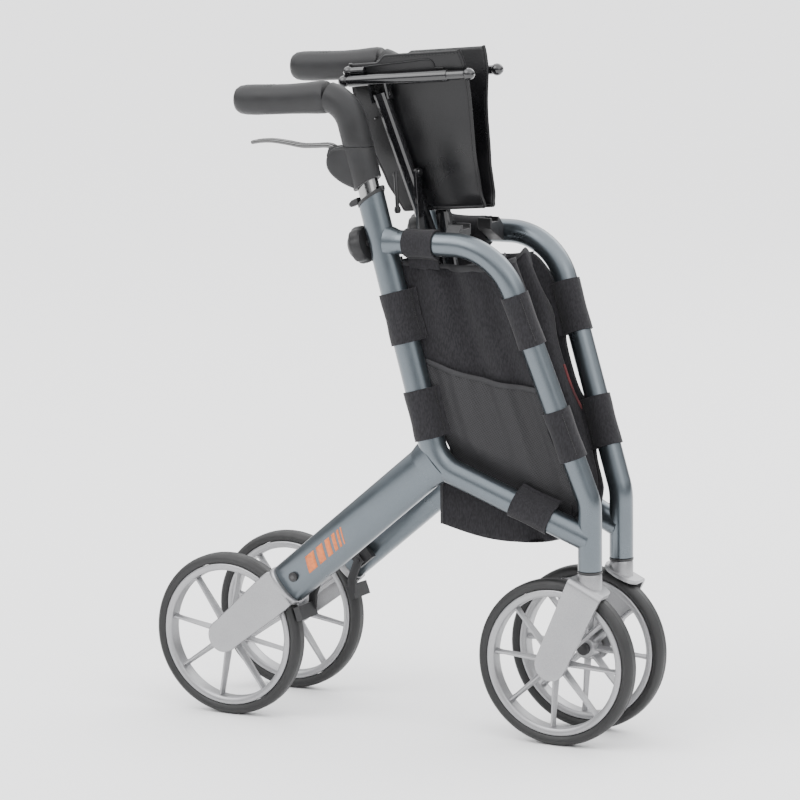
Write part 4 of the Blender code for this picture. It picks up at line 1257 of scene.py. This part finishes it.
def strap_wrap(line, radius, towards, tab):
    """A cloth loop drawn off a tube along its tangents into a flat stitched tab."""
    count = 14
    wrap_steps = 28
    tab_half = 0.9
    leave = math.radians(34)
    start, end = line
    axis = (end - start).normalized()
    across = (towards - axis * axis.dot(towards)).normalized()
    other = axis.cross(across)
    rings = []
    for k in range(count + 1):
        share = k / count
        centre = start + (end - start) * share
        flare = 0.5 + 0.35 * math.cos(2 * math.pi * share) + 0.4 * noise.noise(centre * 0.06)
        reach = radius + 1.6 + flare
        apex = reach / math.cos(leave)
        points = []
        for i in range(wrap_steps + 1):
            angle = leave + (2 * math.pi - 2 * leave) * i / wrap_steps
            points.append((math.cos(angle) * reach, math.sin(angle) * reach))
        last_x, last_y = points[-1]
        low = []
        for part in (0.25, 0.5, 0.75, 1.0):
            low.append((last_x + (apex - last_x) * part, last_y * (1 - part) - tab_half * part))
        for i in range(1, 4):
            low.append((apex + tab * i / 3, -tab_half))
        points = points + low + [(x, -y) for x, y in reversed(low)]
        rings.append([centre + across * x + other * y for x, y in points])
    return rings


def strap_stitches(rings, columns):
    """Short threads along two of a strap's ring columns."""
    threads = []
    middles = [middle_of(ring) for ring in rings[1:-1]]
    for column in columns:
        line = [ring[column] for ring in rings[1:-1]]
        for a, b, centre in zip(line, line[1:], middles):
            out = (a - centre).normalized() * 0.35
            for share in (0.05, 0.55):
                p = a + (b - a) * share + out
                threads.append(tube([p, p + (b - a) * 0.36], (0.4, 0.4), 6))
    return threads


def make_strap(name, side, line, radius, towards, tab):
    rings = strap_wrap(line, radius, towards, tab)
    axis = (line[1] - line[0]).normalized()
    bodies = [skin(rings), end_lip(rings[0], -axis), end_lip(rings[-1], axis)]
    strap = make(f"{name}_strap", merge(bodies), side, CLOTH, smooth=50)
    threads = merge(strap_stitches(rings, (12, 30)))
    stitching = make(f"{name}_strap_stitches", threads, side, THREAD)
    return strap, stitching


def end_lip(ring, axis):
    """A thin round lip that follows a closed ring of points."""
    radius = 0.75
    middle = middle_of(ring)
    sections = []
    for point in ring:
        out = (point - middle).normalized()
        section = []
        for k in range(6):
            angle = 2 * math.pi * k / 6
            round_it = (out * math.cos(angle) + axis * math.sin(angle)) * radius
            section.append(point - out * 0.4 + round_it)
        sections.append(section)
    return skin(sections, closed=True)


def front_axis_at(z):
    """The point of the front tube's axis at a height, on its sloping or lower part."""
    route = front_route()
    for first, second in zip(route[4:], route[5:]):
        if second.z <= z <= first.z:
            return first + (second - first) * ((first.z - z) / (first.z - second.z))
    return route[-1]


def make_straps(name, side):
    ahead = ACROSS + Y * 0.35
    back = Vector((-1.0, 0.45, -0.2))
    straps = []
    for label, low, high in (("upright_upper", 474.0, 532.0), ("upright_lower", 362.0, 418.0)):
        straps.append((label, (upright_at(low), upright_at(high)), UPRIGHT_RADIUS, ahead, 2.5))
    ends = (250.0, 288.0) if side == RIGHT else (229.0, 283.0)
    bar = [Vector((x, 0.0, UPPER_TUBE_Z)) for x in ends]
    straps.append(("upper_tube", bar, FRONT_RADIUS, Vector((0.0, 0.25, -1.0)), 12.0))
    for label, low, high in (("front_upper", 478.0, 536.0), ("front_lower", 346.0, 402.0)):
        straps.append((label, (front_axis_at(low), front_axis_at(high)), FRONT_RADIUS, back, 5.0))
    bar = []
    for x in (380.0, 424.0):
        share = (x - LOWER_CORNER.x) / (STEM.x - LOWER_CORNER.x)
        bar.append(Vector((x, STEM.y * share, 331.0 - (331.0 - 250.0) * share)))
    straps.append(("lower_tube", bar, LOWER_RADIUS, Vector((0.2, 0.4, 1.0)), 4.0))
    for label, line, radius, towards, tab in straps:
        for piece in make_strap(f"{name}_{label}", side, line, radius, towards, tab):
            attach(piece, f"{name}_frame")


def make_seat_fixings(name, side):
    """Bright screw heads in the seat: the link's screw and two rivets by the rail's bracket."""
    heads = []
    for along, down, radius in ((52.0, 30.0, 1.7), (57.0, 40.0, 1.7), (40.0, 22.0, 2.0), (34.0, 48.0, 1.5)):
        profile = [(0.01, -1.6), (radius * 0.6, -1.4), (radius, -0.4), (radius, 3.4), (0.01, 3.4)]
        heads.append(turned(seat_point(along, down, -5.4), Y, profile, 16))
    rivets = make(f"{name}_seat_rivets", merge(heads), side, POLISHED)
    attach(rivets, f"{name}_seat_panel")


def make_hook(name, side):
    """The short rod that hangs by the seat, with a bead at each end."""
    high, low = Vector((218.7, 32.0, 667.0)), Vector((220.8, 32.0, 622.0))
    run = low - high
    top = [(0.01, -4.0), (2.6, -3.2), (3.4, 0.0), (2.4, 3.0), (2.3, 4.0)]
    foot = [(2.3, -8.0), (3.4, -7.0), (4.2, -3.0), (3.0, 0.0), (0.01, 0.6)]
    profile = top + [(radius, run.length + along) for radius, along in foot]
    rod = make(f"{name}_seat_hook", turned(high, run, profile, 24), side, BLACK)
    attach(rod, f"{name}_seat_panel")


# ---------------------------------------------------------------- CAD pieces kept


def finish_cad_nodes():
    """The folding cross and the brake keep their CAD shapes, with rounded edges and real finishes."""
    finishes = {"cross_bar_front": (ENAMEL, 1.2), "cross_bar_rear": (ENAMEL, 1.2)}
    for name, _ in SIDES:
        finishes[f"{name}_seat_rail"] = (ENAMEL, 0.3)
        finishes[f"{name}_pivot_bracket"] = (ENAMEL, 0.8)
        finishes[f"{name}_guide_link"] = (ENAMEL, 0.5)
        finishes[f"{name}_rail_cradle"] = (BLACK, 0.8)
        finishes[f"{name}_brake_block"] = (BLACK, 0.8)
        finishes[f"{name}_brake_shoe"] = (BLACK, 0.5)
    for node_name, (material, width) in finishes.items():
        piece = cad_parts[node_name]
        piece.data.materials.clear()
        piece.data.materials.append(material)
        weld = piece.modifiers.new("weld", "WELD")
        weld.merge_threshold = 0.00001
        edges = piece.modifiers.new("edges", "BEVEL")
        edges.width = width * MM
        edges.segments = 2
        edges.angle_limit = math.radians(40)
        edges.use_clamp_overlap = True


# ---------------------------------------------------------------- stage


def make_stage():
    mesh = bmesh.new()
    bmesh.ops.create_grid(mesh, x_segments=1, y_segments=1, size=40.0)
    data = bpy.data.meshes.new("studio_floor")
    mesh.to_mesh(data)
    mesh.free()
    floor = bpy.data.objects.new("studio_floor", data)
    bpy.context.scene.collection.objects.link(floor)
    data.materials.append(new_material("pale_floor", grey(0.93), 0.7))
    world = bpy.data.worlds.new("studio")
    world.use_nodes = True
    background = world.node_tree.nodes["Background"]
    background.inputs["Strength"].default_value = 1.0
    direction = world.node_tree.nodes.new("ShaderNodeTexCoord")
    height = world.node_tree.nodes.new("ShaderNodeSeparateXYZ")
    tones = world.node_tree.nodes.new("ShaderNodeValToRGB")
    low, high = tones.color_ramp.elements
    low.position, low.color = 0.1, (0.12, 0.123, 0.13, 1.0)
    high.position, high.color = 0.62, (3.0, 3.0, 3.03, 1.0)
    world.node_tree.links.new(direction.outputs["Generated"], height.inputs["Vector"])
    world.node_tree.links.new(height.outputs["Z"], tones.inputs["Fac"])
    world.node_tree.links.new(tones.outputs["Color"], background.inputs["Color"])
    bpy.context.scene.world = world
    add_light("key", (-1.6, -2.6, 3.4), 3.0, 75.0)
    add_light("fill", (3.4, -1.6, 2.2), 2.4, 26.0)
    add_light("rim", (0.8, 3.2, 2.6), 2.4, 40.0)


def add_light(name, place_at, size, power):
    light = bpy.data.lights.new(name, "AREA")
    light.size = size
    light.energy = power
    lamp = bpy.data.objects.new(name, light)
    lamp.location = place_at
    aim = Vector((0.0, 0.0, 0.4)) - Vector(place_at)
    lamp.rotation_euler = aim.to_track_quat("-Z", "Y").to_euler()
    bpy.context.scene.collection.objects.link(lamp)


def make_camera():
    """The photograph's camera: a long lens, slightly rolled."""
    a, e = CAMERA_AZIMUTH, CAMERA_ELEVATION
    ahead = Vector((-math.sin(a) * math.cos(e), math.cos(a) * math.cos(e), -math.sin(e)))
    level = Vector((math.cos(a), math.sin(a), 0.0))
    top = level.cross(ahead)
    c, s = math.cos(CAMERA_ROLL), math.sin(CAMERA_ROLL)
    right = level * c + top * s
    up = top * c - level * s
    lens = bpy.data.cameras.new("camera")
    lens.lens = CAMERA_LENS
    lens.sensor_width = 36.0
    lens.shift_x, lens.shift_y = CAMERA_SHIFT
    lens.clip_end = 100.0
    camera = bpy.data.objects.new("camera", lens)
    turned = Matrix((right, up, -ahead)).transposed().to_4x4()
    camera.matrix_world = Matrix.Translation(CAMERA_PLACE) @ turned
    bpy.context.scene.collection.objects.link(camera)
    bpy.context.scene.camera = camera


make_camera()
make_stage()
for side_name, side_sign in SIDES:
    for make_piece in (
        make_frame_tubes,
        make_leg,
        make_rear_fork,
        make_collar,
        make_knob,
        make_head_ring,
        make_wheels,
        make_handle,
        make_lever,
        make_bag_side,
        make_straps,
        make_hook,
        make_seat_fixings,
    ):
        make_piece(side_name, side_sign)
for side_name, side_sign in SIDES:
    make_seat_half(side_name, side_sign)
    make_seat_rail(side_name, side_sign)
make_bag_band()
finish_cad_nodes()
